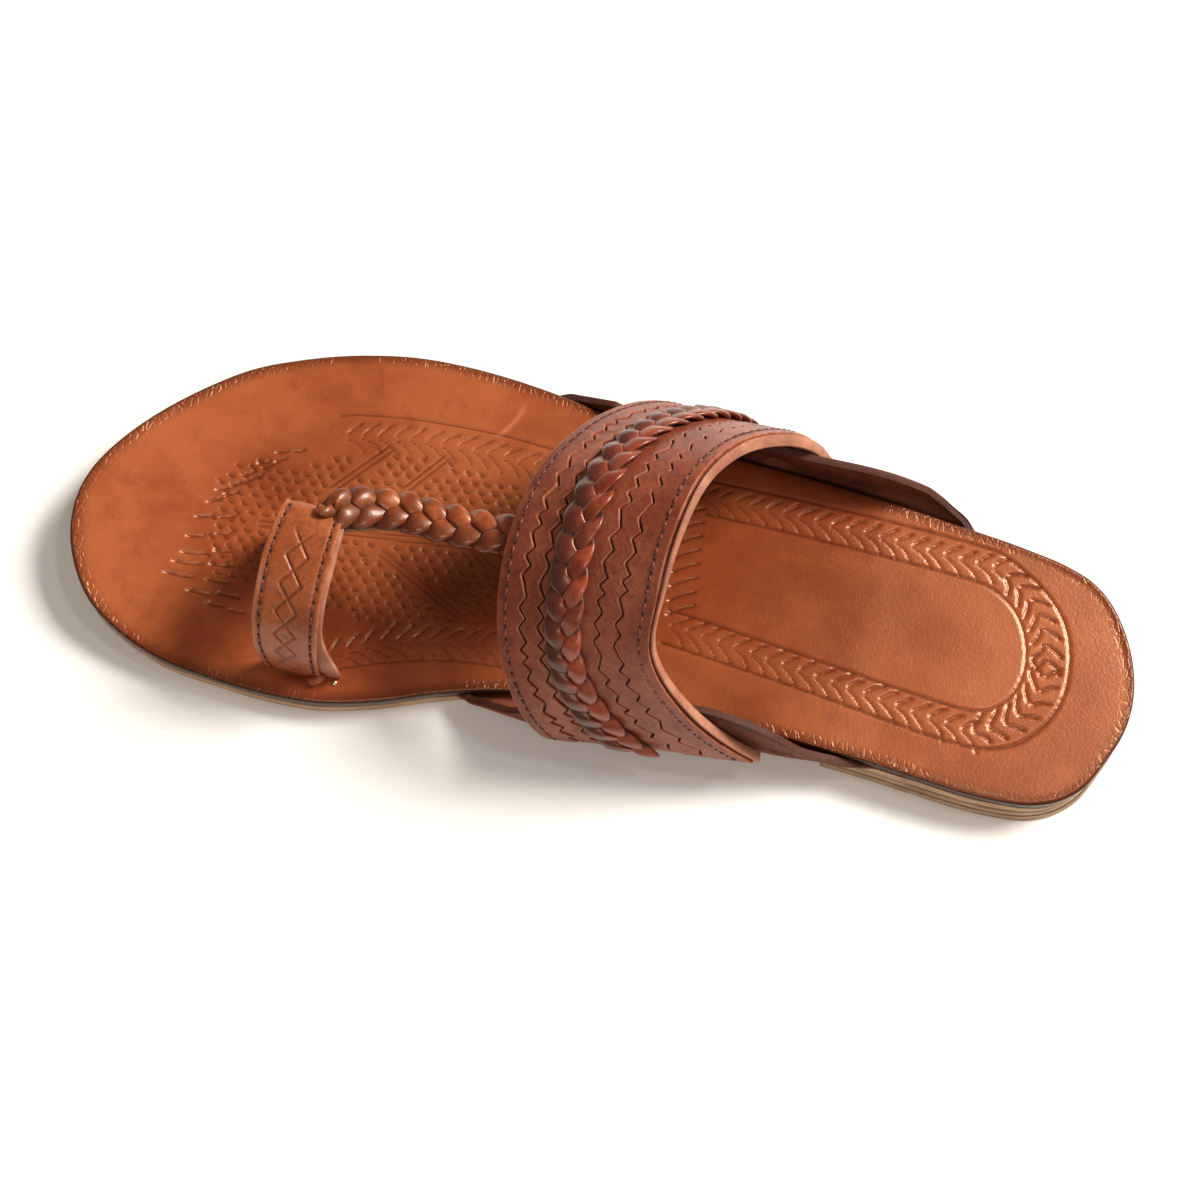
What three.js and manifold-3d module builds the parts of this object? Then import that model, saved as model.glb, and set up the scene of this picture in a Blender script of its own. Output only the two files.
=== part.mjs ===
// Kolhapuri sandal, right foot, in millimetres.
// +X points to the toe, +Y to the big-toe side, +Z up; the ground is z = 0.
import * as THREE from 'three';
import { mergeVertices } from 'three/addons/utils/BufferGeometryUtils.js';
import Module from 'manifold-3d';

const wasm = await Module();
wasm.setup();

// ---------------------------------------------------------------- sizes

const gap = 0.3;

// Sole outline: where the edge stands on each side of the middle line.
const heel_end = { at: -136, middle: 1.7 };
const toe_end = { at: 137.5, middle: 12.8 };
const outline_rows = [
  { at: -131.5, medial: 18.6, lateral: -16.2 },
  { at: -127.5, medial: 26.2, lateral: -22.4 },
  { at: -122.5, medial: 31.3, lateral: -26.9 },
  { at: -115.5, medial: 34.7, lateral: -29.9 },
  { at: -104.5, medial: 36.0, lateral: -32.2 },
  { at: -87.5, medial: 35.1, lateral: -34.4 },
  { at: -69.5, medial: 33.5, lateral: -36.6 },
  { at: -45, medial: 32.3, lateral: -38.6 },
  { at: -20, medial: 32.0, lateral: -40.6 },
  { at: 2, medial: 33.1, lateral: -43.8 },
  { at: 20.5, medial: 35.9, lateral: -47.4 },
  { at: 35.5, medial: 40.2, lateral: -49.5 },
  { at: 50.5, medial: 46.0, lateral: -50.4 },
  { at: 64.5, medial: 49.6, lateral: -49.8 },
  { at: 79.5, medial: 50.4, lateral: -46.8 },
  { at: 93.5, medial: 49.5, lateral: -42.0 },
  { at: 106.5, medial: 47.6, lateral: -35.3 },
  { at: 118, medial: 43.4, lateral: -24.9 },
  { at: 127.5, medial: 36.9, lateral: -13.2 },
  { at: 134, medial: 27.4, lateral: -1.9 },
];
const outline_stations = 72;

// Underside of the outsole: on the heel lift, over the arch, flat at the
// forefoot, then up into the toe spring.
const underside_rows = [
  { at: -140, height: 4.3 },
  { at: -75, height: 4.3 },
  { at: -62, height: 4.3 },
  { at: -40, height: 3.7 },
  { at: -15, height: 2.0 },
  { at: 8, height: 0.5 },
  { at: 24, height: 0 },
  { at: 60, height: 0 },
  { at: 96, height: 0 },
  { at: 108, height: 0.7 },
  { at: 120, height: 2.5 },
  { at: 130, height: 4.7 },
  { at: 140, height: 7.2 },
];
const outsole_thickness = 4.0;
const insole_thickness = 3.2;
const insole_edge_round = 0.9;

// Stacked heel lift, flaring out a little towards the ground.
const lift_front = -62;
const lift_flare = 1.4;
const lift_tread_round = 0.5;
const lift_front_hollow = 2.5;

// Instep band: an arch from side to side. Each row is one direction round
// the arch, from the big-toe side (0 degrees) over the crown to the other side.
const band_thickness = 3.0;
const band_foot = {
  medial: { rear: 40.5, front: 46.4, lean: 1.12 },
  lateral: { rear: -45.5, front: -49.2, lean: 1.38 },
};
const band_hem = 12.5;
const band_rear_crown = 66;
const band_front_crown = 47.5;
const band_swell = 1.2;
const band_rows = [
  { degrees: 0, rear: -45.5, front: 7 },
  { degrees: 20, rear: -27, front: 14.5 },
  { degrees: 40, rear: -14.8, front: 20.6 },
  { degrees: 60, rear: -13.2, front: 24.2 },
  { degrees: 80, rear: -13.6, front: 24.8 },
  { degrees: 100, rear: -16.6, front: 22 },
  { degrees: 120, rear: -24, front: 15 },
  { degrees: 140, rear: -34.5, front: 6 },
  { degrees: 160, rear: -42.5, front: -3 },
  { degrees: 180, rear: -47.5, front: -9 },
];

// Plaited strip lying proud along the middle of the band.
const plait_rear = 0.455;
const plait_front = 0.645;
const plait_thickness = 2.4;
const plait_end = 0.012;

// Ears: side flaps that come out between the soles and stand up inside the
// band. Each row gives the height of the rim over the layer it grows from.
const ear_thickness = 1.8;
const ear_tab = 9;
const ear_bend = 8;
const ear_least_flare = 1.35;
const ear_slack = 0.7;
const ear_segments = { tab: 1, bend: 6, flap: 3 };
const ear_widths = ear_segments.tab + ear_segments.bend + ear_segments.flap;
const ears = {
  medial: {
    side: 1,
    rows: [
      { at: -68, rise: 2.6 },
      { at: -58, rise: 6.5 },
      { at: -46, rise: 14.5 },
      { at: -30, rise: 19 },
      { at: -8, rise: 19.5 },
      { at: 8, rise: 15 },
      { at: 20, rise: 7.5 },
      { at: 28, rise: 2.6 },
    ],
  },
  lateral: {
    side: -1,
    rows: [
      { at: -83, rise: 2.6 },
      { at: -74, rise: 10.5 },
      { at: -60, rise: 16.5 },
      { at: -42, rise: 19 },
      { at: -20, rise: 19 },
      { at: -4, rise: 15.5 },
      { at: 10, rise: 8.5 },
      { at: 23, rise: 2.6 },
    ],
  },
};

// Toe loop: one strap from its slot at the sole's edge, over the big toe and
// down to a slot between the toes. Heights are of its upper face.
const toe_strap_thickness = 2.4;
const toe_strap_rows = [
  { centre: 71.6, half_width: 6.6, across: 43.4, height: 5.2 },
  { centre: 72.2, half_width: 7.3, across: 43.6, height: 13 },
  { centre: 72.8, half_width: 7.9, across: 42.2, height: 22 },
  { centre: 73, half_width: 8.0, across: 38.2, height: 30.5 },
  { centre: 73, half_width: 8.0, across: 31.5, height: 36.5 },
  { centre: 72.9, half_width: 8.0, across: 23.5, height: 39.4 },
  { centre: 72.6, half_width: 7.7, across: 15.2, height: 39.6 },
  { centre: 72.8, half_width: 7.1, across: 9.4, height: 36.9 },
  { centre: 75.4, half_width: 6.0, across: 7.2, height: 29.2 },
  { centre: 79.0, half_width: 4.9, across: 6.6, height: 19.5 },
  { centre: 81.6, half_width: 4.2, across: 6.4, height: 11 },
  { centre: 82.2, half_width: 4.0, across: 6.4, height: 5.2 },
];

// Instep strap running from under the band to the toe loop.
const instep_strap_thickness = 3.4;
const instep_strap_rows = [
  { at: 12, across: 8.4, height: 50.0, half_width: 5.0 },
  { at: 21, across: 8.1, height: 44.9, half_width: 5.2 },
  { at: 29, across: 7.7, height: 41.6, half_width: 5.3 },
  { at: 41, across: 6.8, height: 38.4, half_width: 5.3 },
  { at: 54, across: 5.5, height: 36.4, half_width: 5.2 },
  { at: 65, across: 8.4, height: 36.2, half_width: 5.0 },
  { at: 72, across: 11.2, height: 37.2, half_width: 4.4 },
];

const colours = {
  outsole: 0xa98a6c,
  heel_lift: 0x9c8168,
  insole: 0xb4622f,
  ear_medial: 0x5a2c1c,
  ear_lateral: 0x5a2c1c,
  upper: 0x8c4c34,
  instep_plait: 0x7c3328,
};

// ------------------------------------------------------------ helpers

// Smooth curve through the rows: value of one column at a place along another.
function along(rows, place, column, value) {
  const last = rows.length - 1;
  let low = 0;
  while (low < last - 1 && value > rows[low + 1][place]) {
    low += 1;
  }
  const slope = (index) => {
    const before = rows[Math.max(index - 1, 0)];
    const after = rows[Math.min(index + 1, last)];
    return (after[column] - before[column]) / (after[place] - before[place]);
  };
  const start = rows[low];
  const end = rows[low + 1];
  const span = end[place] - start[place];
  const t = Math.min(Math.max((value - start[place]) / span, 0), 1);
  const squared = t * t;
  const cubed = squared * t;
  return (2 * cubed - 3 * squared + 1) * start[column]
    + (cubed - 2 * squared + t) * span * slope(low)
    + (3 * squared - 2 * cubed) * end[column]
    + (cubed - squared) * span * slope(low + 1);
}

// Rows numbered 0, 1, 2 ... so a curve can be followed by row number.
function numbered(rows) {
  return rows.map((row, index) => ({ ...row, index }));
}

// Closed body from corner points and the triangles between them.
function body(points, triangles) {
  const geometry = new THREE.BufferGeometry();
  const flat = points.flatMap((point) => [point.x, point.y, point.z]);
  geometry.setAttribute('position', new THREE.Float32BufferAttribute(flat, 3));
  geometry.setIndex(triangles);
  return geometry;
}

// Body through a row of closed rings, each with its points in the same order.
function loft(rings) {
  const count = rings[0].length;
  const points = rings.flat();
  const triangles = [];
  for (let ring = 0; ring < rings.length - 1; ring += 1) {
    for (let index = 0; index < count; index += 1) {
      const next = (index + 1) % count;
      const a = ring * count + index;
      const b = ring * count + next;
      triangles.push(a, b, b + count, a, b + count, a + count);
    }
  }
  const flat_ends = [
    { first: 0, turned: true },
    { first: (rings.length - 1) * count, turned: false },
  ];
  for (const { first, turned } of flat_ends) {
    for (let index = 1; index < count - 1; index += 1) {
      const pair = [first + index, first + index + 1];
      triangles.push(first, ...(turned ? pair.reverse() : pair));
    }
  }
  return body(points, triangles);
}

// Outward direction of a leather surface at one place on it.
function normal_of(surface, u, v) {
  const step = 0.002;
  const down = surface(Math.min(u + step, 1), v).sub(surface(Math.max(u - step, 0), v));
  const across = surface(u, Math.min(v + step, 1)).sub(surface(u, Math.max(v - step, 0)));
  return down.cross(across).normalize();
}

// Sheet of leather that follows a surface, from one offset to another.
function sheet(surface, { from = 0, to = 1, rear = 0, front = 1, lengths, widths, inner, outer }) {
  const points = [];
  for (const offset of [outer, inner]) {
    for (let i = 0; i <= lengths; i += 1) {
      for (let j = 0; j <= widths; j += 1) {
        const u = from + ((to - from) * i) / lengths;
        const v = rear + ((front - rear) * j) / widths;
        points.push(surface(u, v).addScaledVector(normal_of(surface, u, v), offset));
      }
    }
  }
  const row = widths + 1;
  const layer = (lengths + 1) * row;
  const at = (i, j) => i * row + j;
  const triangles = [];
  const quad = (a, b, c, d) => triangles.push(a, c, b, a, d, c);
  for (let i = 0; i < lengths; i += 1) {
    for (let j = 0; j < widths; j += 1) {
      quad(at(i, j), at(i, j + 1), at(i + 1, j + 1), at(i + 1, j));
      quad(layer + at(i, j), layer + at(i + 1, j), layer + at(i + 1, j + 1), layer + at(i, j + 1));
    }
    quad(at(i, 0), at(i + 1, 0), layer + at(i + 1, 0), layer + at(i, 0));
    quad(at(i + 1, widths), at(i, widths), layer + at(i, widths), layer + at(i + 1, widths));
  }
  for (let j = 0; j < widths; j += 1) {
    quad(at(0, j + 1), at(0, j), layer + at(0, j), layer + at(0, j + 1));
    quad(at(lengths, j), at(lengths, j + 1), layer + at(lengths, j + 1), layer + at(lengths, j));
  }
  return body(points, triangles);
}

function to_solid(geometry) {
  const clean = geometry.clone();
  clean.deleteAttribute('normal');
  clean.deleteAttribute('uv');
  const merged = mergeVertices(clean, 1e-4);
  return new wasm.Manifold(new wasm.Mesh({
    numProp: 3,
    vertProperties: new Float32Array(merged.attributes.position.array),
    triVerts: new Uint32Array(merged.index.array),
  }));
}

function to_geometry(solid) {
  const mesh = solid.getMesh();
  const geometry = new THREE.BufferGeometry();
  geometry.setAttribute('position', new THREE.Float32BufferAttribute(mesh.vertProperties, 3));
  geometry.setIndex(Array.from(mesh.triVerts));
  return geometry;
}

const mix = (a, b, t) => a + (b - a) * t;

// ---------------------------------------------------------------- sole

const sole_centre = (heel_end.at + toe_end.at) / 2;
const sole_half = (toe_end.at - heel_end.at) / 2;

// The outline closes round at both ends, so each half width is kept as its
// share of an oval of the same length and follows a smooth curve.
function roundness(at) {
  const reach = (at - sole_centre) / sole_half;
  return Math.sqrt(Math.max(1 - reach * reach, 0));
}
const width_rows = outline_rows.map(({ at, medial, lateral }) => ({
  at,
  fullness: (medial - lateral) / 2 / roundness(at),
  middle: (medial + lateral) / 2,
}));
width_rows.unshift({ at: heel_end.at, fullness: width_rows[0].fullness, middle: heel_end.middle });
width_rows.push({ at: toe_end.at, fullness: width_rows.at(-1).fullness, middle: toe_end.middle });

// Where the sole's edge stands at one station; side is 1 medial, -1 lateral.
function sole_edge(at, side) {
  const half = along(width_rows, 'at', 'fullness', at) * roundness(at);
  return along(width_rows, 'at', 'middle', at) + side * half;
}

const underside = (at) => Math.max(along(underside_rows, 'at', 'height', at), 0);
const outsole_top = (at) => underside(at) + outsole_thickness;
const insole_top = (at) => outsole_top(at) + gap + insole_thickness;

// Stations from heel to toe, closer together towards the round ends.
const stations = [];
const end_turn = 0.035;
for (let index = 0; index <= outline_stations; index += 1) {
  const turn = mix(end_turn, Math.PI - end_turn, index / outline_stations);
  stations.push(sole_centre - sole_half * Math.cos(turn));
}

// A sole layer: one ring per station, its upper edges eased by a small round.
function sole_layer(low, high, round) {
  const ease = round * (1 - Math.SQRT1_2);
  const rings = stations.map((at) => {
    const medial = sole_edge(at, 1);
    const lateral = sole_edge(at, -1);
    const shrink = Math.min(1, (medial - lateral) / (6 * Math.max(round, gap)));
    const pull = round * shrink;
    const half_pull = ease * shrink;
    const bottom = low(at);
    const top = high(at);
    const point = (across, height) => new THREE.Vector3(at, across, height);
    if (round === 0) {
      return [point(lateral, bottom), point(medial, bottom), point(medial, top), point(lateral, top)];
    }
    return [
      point(lateral, bottom),
      point(medial, bottom),
      point(medial, top - round),
      point(medial - half_pull, top - ease),
      point(medial - pull, top),
      point(lateral + pull, top),
      point(lateral + half_pull, top - ease),
      point(lateral, top - round),
    ];
  });
  return loft(rings);
}

// Heel outline as a closed walk round the heel, grown outwards by the flare.
function heel_ring(grow, height) {
  const rear = stations.filter((at) => at < lift_front);
  const walk = [
    ...rear.map((at) => [at, sole_edge(at, 1)]).reverse(),
    ...rear.map((at) => [at, sole_edge(at, -1)]),
  ];
  walk.unshift([lift_front, sole_edge(lift_front, 1)]);
  walk.push([lift_front, sole_edge(lift_front, -1)]);
  const grown = walk.map(([at, across], index) => {
    const before = walk[Math.max(index - 1, 0)];
    const after = walk[Math.min(index + 1, walk.length - 1)];
    const run = new THREE.Vector2(after[0] - before[0], after[1] - before[1]).normalize();
    const end = index === 0 || index === walk.length - 1;
    const push_back = end ? 0 : run.y;
    return new THREE.Vector3(at + push_back * grow, across - run.x * grow, height);
  });
  const front_middle = (grown[0].y + grown.at(-1).y) / 2;
  grown.push(new THREE.Vector3(lift_front - lift_front_hollow, front_middle, height));
  return grown;
}

function heel_lift() {
  const top = underside(lift_front - 1) - gap;
  const rings = [
    heel_ring(lift_flare - lift_tread_round, 0),
    heel_ring(lift_flare, lift_tread_round),
    heel_ring(0, top),
  ];
  const count = rings[0].length;
  const triangles = [];
  for (let ring = 0; ring < rings.length - 1; ring += 1) {
    for (let index = 0; index < count; index += 1) {
      const next = (index + 1) % count;
      const a = ring * count + index;
      const b = ring * count + next;
      triangles.push(a, b, b + count, a, b + count, a + count);
    }
  }
  const flat = rings[0].map((point) => new THREE.Vector2(point.x, point.y));
  const faces = THREE.ShapeUtils.triangulateShape(flat, []);
  for (const [a, b, c] of faces) {
    triangles.push(c, b, a);
    triangles.push(a + 2 * count, b + 2 * count, c + 2 * count);
  }
  return body(rings.flat(), triangles);
}

// ---------------------------------------------------------------- band

const band_crown = (v) => mix(band_rear_crown, band_front_crown, v) + band_swell * 4 * v * (1 - v);

// Outer face of the band: u round the arch, v from rear edge to front edge.
function band_face(u, v) {
  const degrees = 180 * u;
  const turn = THREE.MathUtils.degToRad(degrees);
  const foot = u > 0.5 ? band_foot.lateral : band_foot.medial;
  const lift = Math.max(Math.sin(turn), 0) ** foot.lean;
  return new THREE.Vector3(
    mix(along(band_rows, 'degrees', 'rear', degrees), along(band_rows, 'degrees', 'front', degrees), v),
    mix(foot.rear, foot.front, v) * Math.abs(Math.cos(turn)),
    band_hem + (band_crown(v) - band_hem) * lift,
  );
}

// How far out the band's inner face stands at one station and height. The
// place across the band and the turn round the arch settle in a few passes.
function band_inside(at, height, side) {
  const foot = side > 0 ? band_foot.medial : band_foot.lateral;
  const passes = 6;
  let v = 0.5;
  let turn = 0;
  for (let pass = 0; pass < passes; pass += 1) {
    const crown = band_crown(v);
    const share = THREE.MathUtils.clamp((height - band_hem) / (crown - band_hem), 0, 1);
    turn = Math.asin(share ** (1 / foot.lean));
    const degrees = side > 0 ? THREE.MathUtils.radToDeg(turn) : 180 - THREE.MathUtils.radToDeg(turn);
    const rear = along(band_rows, 'degrees', 'rear', degrees);
    const front = along(band_rows, 'degrees', 'front', degrees);
    v = THREE.MathUtils.clamp((at - rear) / (front - rear), 0, 1);
  }
  return Math.abs(mix(foot.rear, foot.front, v)) * Math.cos(turn) - band_thickness;
}

// ---------------------------------------------------------------- ears

// Middle surface of an ear: u from rear to front, v from its tab to its rim.
function ear_face({ side, rows }) {
  const tab_share = ear_segments.tab / ear_widths;
  const bend_share = (ear_segments.tab + ear_segments.bend) / ear_widths;
  return (u, v) => {
    const at = mix(rows[0].at, rows.at(-1).at, side > 0 ? u : 1 - u);
    const edge = side * sole_edge(at, side);
    const root = outsole_top(at) - ear_thickness / 2;
    const rise = along(rows, 'at', 'rise', at);
    const clearance = gap + ear_thickness / 2;
    const wanted = band_inside(at, root + ear_bend, side) - clearance - edge;
    const fade = Math.min(rise / 14, 1);
    const flare = Math.max(wanted * fade * (2 - fade), ear_least_flare);
    const bend = Math.min(ear_bend, 1.15 * flare, rise);
    if (v < tab_share) {
      const inward = ear_tab * (1 - v / tab_share);
      return new THREE.Vector3(at, side * (edge - inward), root);
    }
    if (v < bend_share) {
      const turn = (Math.PI / 2) * ((v - tab_share) / (bend_share - tab_share));
      const out = edge + flare * Math.sin(turn);
      return new THREE.Vector3(at, side * out, root + bend * (1 - Math.cos(turn)));
    }
    const height = root + mix(bend, rise, (v - bend_share) / (1 - bend_share));
    const inside = band_inside(at, height, side);
    const lean = inside - band_inside(at, root + bend, side);
    const room = height > band_hem ? inside - clearance - ear_slack : Infinity;
    const out = Math.min(edge + flare + lean, room);
    return new THREE.Vector3(at, side * out, height);
  };
}

function ear(shape, grow) {
  const half = ear_thickness / 2 + grow;
  return sheet(ear_face(shape), { lengths: 28, widths: ear_widths, inner: -half, outer: half });
}

// ------------------------------------------------------------ straps

// Upper face of the toe loop: u along the strap, v across it.
function toe_strap_face(u, v) {
  const rows = numbered(toe_strap_rows);
  const place = u * (rows.length - 1);
  const column = (name) => along(rows, 'index', name, place);
  return new THREE.Vector3(
    column('centre') + mix(-1, 1, v) * column('half_width'),
    column('across'),
    column('height'),
  );
}

function toe_strap(grow) {
  const offsets = { inner: -toe_strap_thickness - grow, outer: grow };
  return sheet(toe_strap_face, { lengths: 56, widths: 2, ...offsets });
}

// Upper face of the instep strap, slightly rounded across like the plait on it.
function instep_strap_face(u, v) {
  const rows = instep_strap_rows;
  const at = mix(rows[0].at, rows.at(-1).at, u);
  const across = mix(-1, 1, v) * along(rows, 'at', 'half_width', at);
  const crown = 0.9 * (1 - (2 * v - 1) ** 2);
  return new THREE.Vector3(
    at,
    along(rows, 'at', 'across', at) + across,
    along(rows, 'at', 'height', at) + crown,
  );
}

// ----------------------------------------------------------- assembly

const outsole_blank = to_solid(sole_layer(underside, outsole_top, 0));
const insole_blank = to_solid(sole_layer((at) => outsole_top(at) + gap, insole_top, insole_edge_round));

const band = to_solid(sheet(band_face, {
  lengths: 60, widths: 6, inner: -band_thickness, outer: 0,
}));
const instep_strap = to_solid(sheet(instep_strap_face, {
  lengths: 22, widths: 4, inner: -instep_strap_thickness, outer: 0,
}));
const upper = band.add(instep_strap).add(to_solid(toe_strap(0)));

const outsole = outsole_blank
  .subtract(to_solid(ear(ears.medial, gap)))
  .subtract(to_solid(ear(ears.lateral, gap)));
const insole = insole_blank.subtract(to_solid(toe_strap(gap)));

const plait = sheet(band_face, {
  from: plait_end,
  to: 1 - plait_end,
  rear: plait_rear,
  front: plait_front,
  lengths: 60,
  widths: 3,
  inner: gap,
  outer: gap + plait_thickness,
});

const pieces = {
  outsole: to_geometry(outsole),
  heel_lift: heel_lift(),
  insole: to_geometry(insole),
  ear_medial: ear(ears.medial, 0),
  ear_lateral: ear(ears.lateral, 0),
  upper: to_geometry(upper),
  instep_plait: plait,
};

const sandal = new THREE.Group();
sandal.name = 'kolhapuri_sandal';
for (const [name, geometry] of Object.entries(pieces)) {
  const leather = new THREE.MeshStandardMaterial({ color: colours[name], roughness: 0.5 });
  geometry.computeVertexNormals();
  const mesh = new THREE.Mesh(geometry, leather);
  mesh.name = name;
  sandal.add(mesh);
}

export default sandal;
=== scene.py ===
"""Kolhapuri sandal, right foot: plaited instep band, toe loop and tooled insole.

+X points to the toe, +Y to the big-toe side, +Z up. Sizes are in millimetres
up to the moment a piece is placed, where they become metres.
"""

import math
import random

import bmesh
import bpy
import numpy as np
from mathutils import Matrix, Vector


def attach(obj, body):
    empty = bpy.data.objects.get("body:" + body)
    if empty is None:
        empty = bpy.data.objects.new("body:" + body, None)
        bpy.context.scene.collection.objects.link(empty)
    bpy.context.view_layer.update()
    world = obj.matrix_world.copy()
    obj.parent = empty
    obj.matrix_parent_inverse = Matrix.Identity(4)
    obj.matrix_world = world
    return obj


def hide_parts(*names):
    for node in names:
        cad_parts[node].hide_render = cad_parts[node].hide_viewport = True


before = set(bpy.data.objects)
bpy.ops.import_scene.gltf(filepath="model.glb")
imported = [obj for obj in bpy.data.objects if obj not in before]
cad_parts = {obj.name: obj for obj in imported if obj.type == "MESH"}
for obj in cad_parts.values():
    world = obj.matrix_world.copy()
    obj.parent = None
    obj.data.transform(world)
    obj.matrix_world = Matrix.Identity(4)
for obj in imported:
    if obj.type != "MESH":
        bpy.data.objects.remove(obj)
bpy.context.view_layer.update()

mm = 0.001
chance = random.Random(11)

# --- sizes

HEEL_END, TOE_END = -136.0, 137.5
sole_centre = (HEEL_END + TOE_END) / 2
sole_half = (TOE_END - HEEL_END) / 2
usual_half_width = 42.0

outline = {
    "at": (-131.5, -127.5, -122.5, -115.5, -104.5, -87.5, -69.5, -45, -20, 2,
           20.5, 35.5, 50.5, 64.5, 79.5, 93.5, 106.5, 118, 127.5, 134),
    "medial": (18.6, 26.2, 31.3, 34.7, 36.0, 35.1, 33.5, 32.3, 32.0, 33.1,
               35.9, 40.2, 46.0, 49.6, 50.4, 49.5, 47.6, 43.4, 36.9, 27.4),
    "lateral": (-16.2, -22.4, -26.9, -29.9, -32.2, -34.4, -36.6, -38.6, -40.6, -43.8,
                -47.4, -49.5, -50.4, -49.8, -46.8, -42.0, -35.3, -24.9, -13.2, -1.9),
}
end_middle = {"heel": 1.7, "toe": 12.8}

underside_curve = {
    "at": (-140, -75, -62, -40, -15, 8, 24, 60, 96, 108, 120, 130, 140),
    "height": (4.3, 4.3, 4.3, 3.7, 2.0, 0.5, 0, 0, 0, 0.7, 2.5, 4.7, 7.2),
}
outsole_thickness = 4.0
insole_gap = 0.3
insole_thickness = 3.2
lift_front = -62.0
lift_height, lift_hollow = 4.0, 2.5

band_thickness = 3.0
band_hem = 12.5
band_crowns = {"rear": 66.0, "front": 47.5, "swell": 1.2}
band_foot = {
    "medial": {"rear": 40.5, "front": 46.4, "lean": 1.12},
    "lateral": {"rear": -45.5, "front": -49.2, "lean": 1.38},
}
band_width = 42.0
band_edges = {
    "degrees": (0, 20, 40, 60, 80, 100, 120, 140, 160, 180),
    "rear": (-45.5, -27, -14.8, -13.2, -13.6, -16.6, -24, -34.5, -42.5, -47.5),
    "front": (7, 14.5, 20.6, 24.2, 24.8, 22, 15, 6, -3, -9),
}

ear_thickness, ear_tab, ear_bend = 1.8, 9.0, 8.0
ear_least_flare, ear_slack = 1.35, 0.7
ears = {
    "medial": {"side": 1, "at": (-84, -68, -58, -46, -30, -8, 8, 20, 28, 36),
               "rise": (0.4, 2.9, 6.5, 14.5, 19, 19.5, 15, 7.5, 2.8, 0.4),
               "rim_seed": 51, "grain_depth": 0.28},
    "lateral": {"side": -1, "at": (-94, -83, -74, -60, -42, -20, -4, 10, 23, 32),
                "rise": (0.4, 4.6, 10.5, 16.5, 19, 19, 15.5, 8.5, 2.8, 0.4),
                "rim_seed": 52, "grain_depth": 0.12},
}

toe_loop = {
    "row": tuple(range(12)),
    "centre": (71.6, 72.2, 72.8, 73, 73, 72.9, 72.6, 72.8, 75.4, 79, 81.6, 82.2),
    "half_width": (6.6, 7.3, 7.9, 8, 8, 8, 7.7, 7.1, 6, 4.9, 4.2, 4),
    "across": (43.4, 43.6, 42.2, 38.2, 31.5, 23.5, 15.2, 9.4, 7.2, 6.6, 6.4, 6.4),
    "height": (5.2, 13, 22, 30.5, 36.5, 39.4, 39.6, 36.9, 29.2, 19.5, 11, 5.2),
}
toe_loop_cut = 0.655
toe_loop_width = 15.5
loop_layer, loop_lining_layer = (-1.2, 0.0), (-2.5, -1.2)

instep_strap = {
    "at": (12, 21, 29, 41, 54, 65, 72),
    "across": (8.4, 8.1, 7.7, 6.8, 5.5, 8.4, 11.2),
    "height": (50, 44.9, 41.6, 38.4, 36.4, 36.2, 37.2),
    "half_width": (5, 5.2, 5.3, 5.3, 5.2, 5, 4.4),
}

# --- curves


def along(rows, place, column, value):
    """Smooth curve through a table: one column's value at a place in another."""
    places = np.asarray(rows[place], float)
    values = np.asarray(rows[column], float)
    last = len(places) - 1
    before = np.maximum(np.arange(last + 1) - 1, 0)
    after = np.minimum(np.arange(last + 1) + 1, last)
    slopes = (values[after] - values[before]) / (places[after] - places[before])
    low = np.clip(np.searchsorted(places, value) - 1, 0, last - 1)
    span = places[low + 1] - places[low]
    t = np.clip((value - places[low]) / span, 0, 1)
    square, cube = t * t, t * t * t
    return (
        (2 * cube - 3 * square + 1) * values[low]
        + (cube - 2 * square + t) * span * slopes[low]
        + (3 * square - 2 * cube) * values[low + 1]
        + (cube - square) * span * slopes[low + 1]
    )


def mix(a, b, t):
    return a + (b - a) * t


def points(x, y, z):
    return np.stack(np.broadcast_arrays(x, y, z), axis=-1).astype(float)


def unit(vectors):
    return vectors / np.maximum(np.linalg.norm(vectors, axis=-1, keepdims=True), 1e-9)


def paired(u, v):
    return np.broadcast_arrays(np.asarray(u, float), np.asarray(v, float))


def walked(line):
    """Length walked along a line to each of its points."""
    steps = np.linalg.norm(np.diff(line, axis=0), axis=1)
    return np.concatenate([[0], np.cumsum(steps)])


def ramp(low, high, value):
    """0 below low, 1 above high, eased between."""
    t = np.clip((value - low) / (high - low), 0, 1)
    return t * t * (3 - 2 * t)


def ripple(x, y, seed, size):
    """Slow uneven waves, about one unit high, for hand-cut edges and pulls."""
    draw = random.Random(seed)
    total = 0
    for _ in range(5):
        turn, phase = draw.uniform(0, math.tau), draw.uniform(0, math.tau)
        reach = size * draw.uniform(0.6, 1.7)
        total = total + np.sin((x * math.cos(turn) + y * math.sin(turn)) / reach + phase)
    return total / 3


def facing(surface, u, v):
    """Outward direction of a leather surface at places on it."""
    step = 0.002
    ahead, behind = np.minimum(u + step, 1), np.maximum(u - step, 0)
    lengthwise = surface(ahead, v) - surface(behind, v)
    crosswise = surface(u, v + step) - surface(u, v - step)
    return unit(np.cross(lengthwise, crosswise))


def on_surface(surface, u, v, offset):
    return surface(u, v) + facing(surface, u, v) * np.asarray(offset)[..., None]


def within(margin, share):
    """A share of a strip's width, kept a margin away from both its edges."""
    return mix(margin, 1 - margin, share)


def both_edges(v, width):
    """1 at either edge of a strip, gone one width in."""
    return np.maximum(ramp(1 - width, 1, v), ramp(width, 0, v))


# --- surfaces: sole


def roundness(at):
    reach = (at - sole_centre) / sole_half
    return np.sqrt(np.clip(1 - reach * reach, 0, 1))


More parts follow.
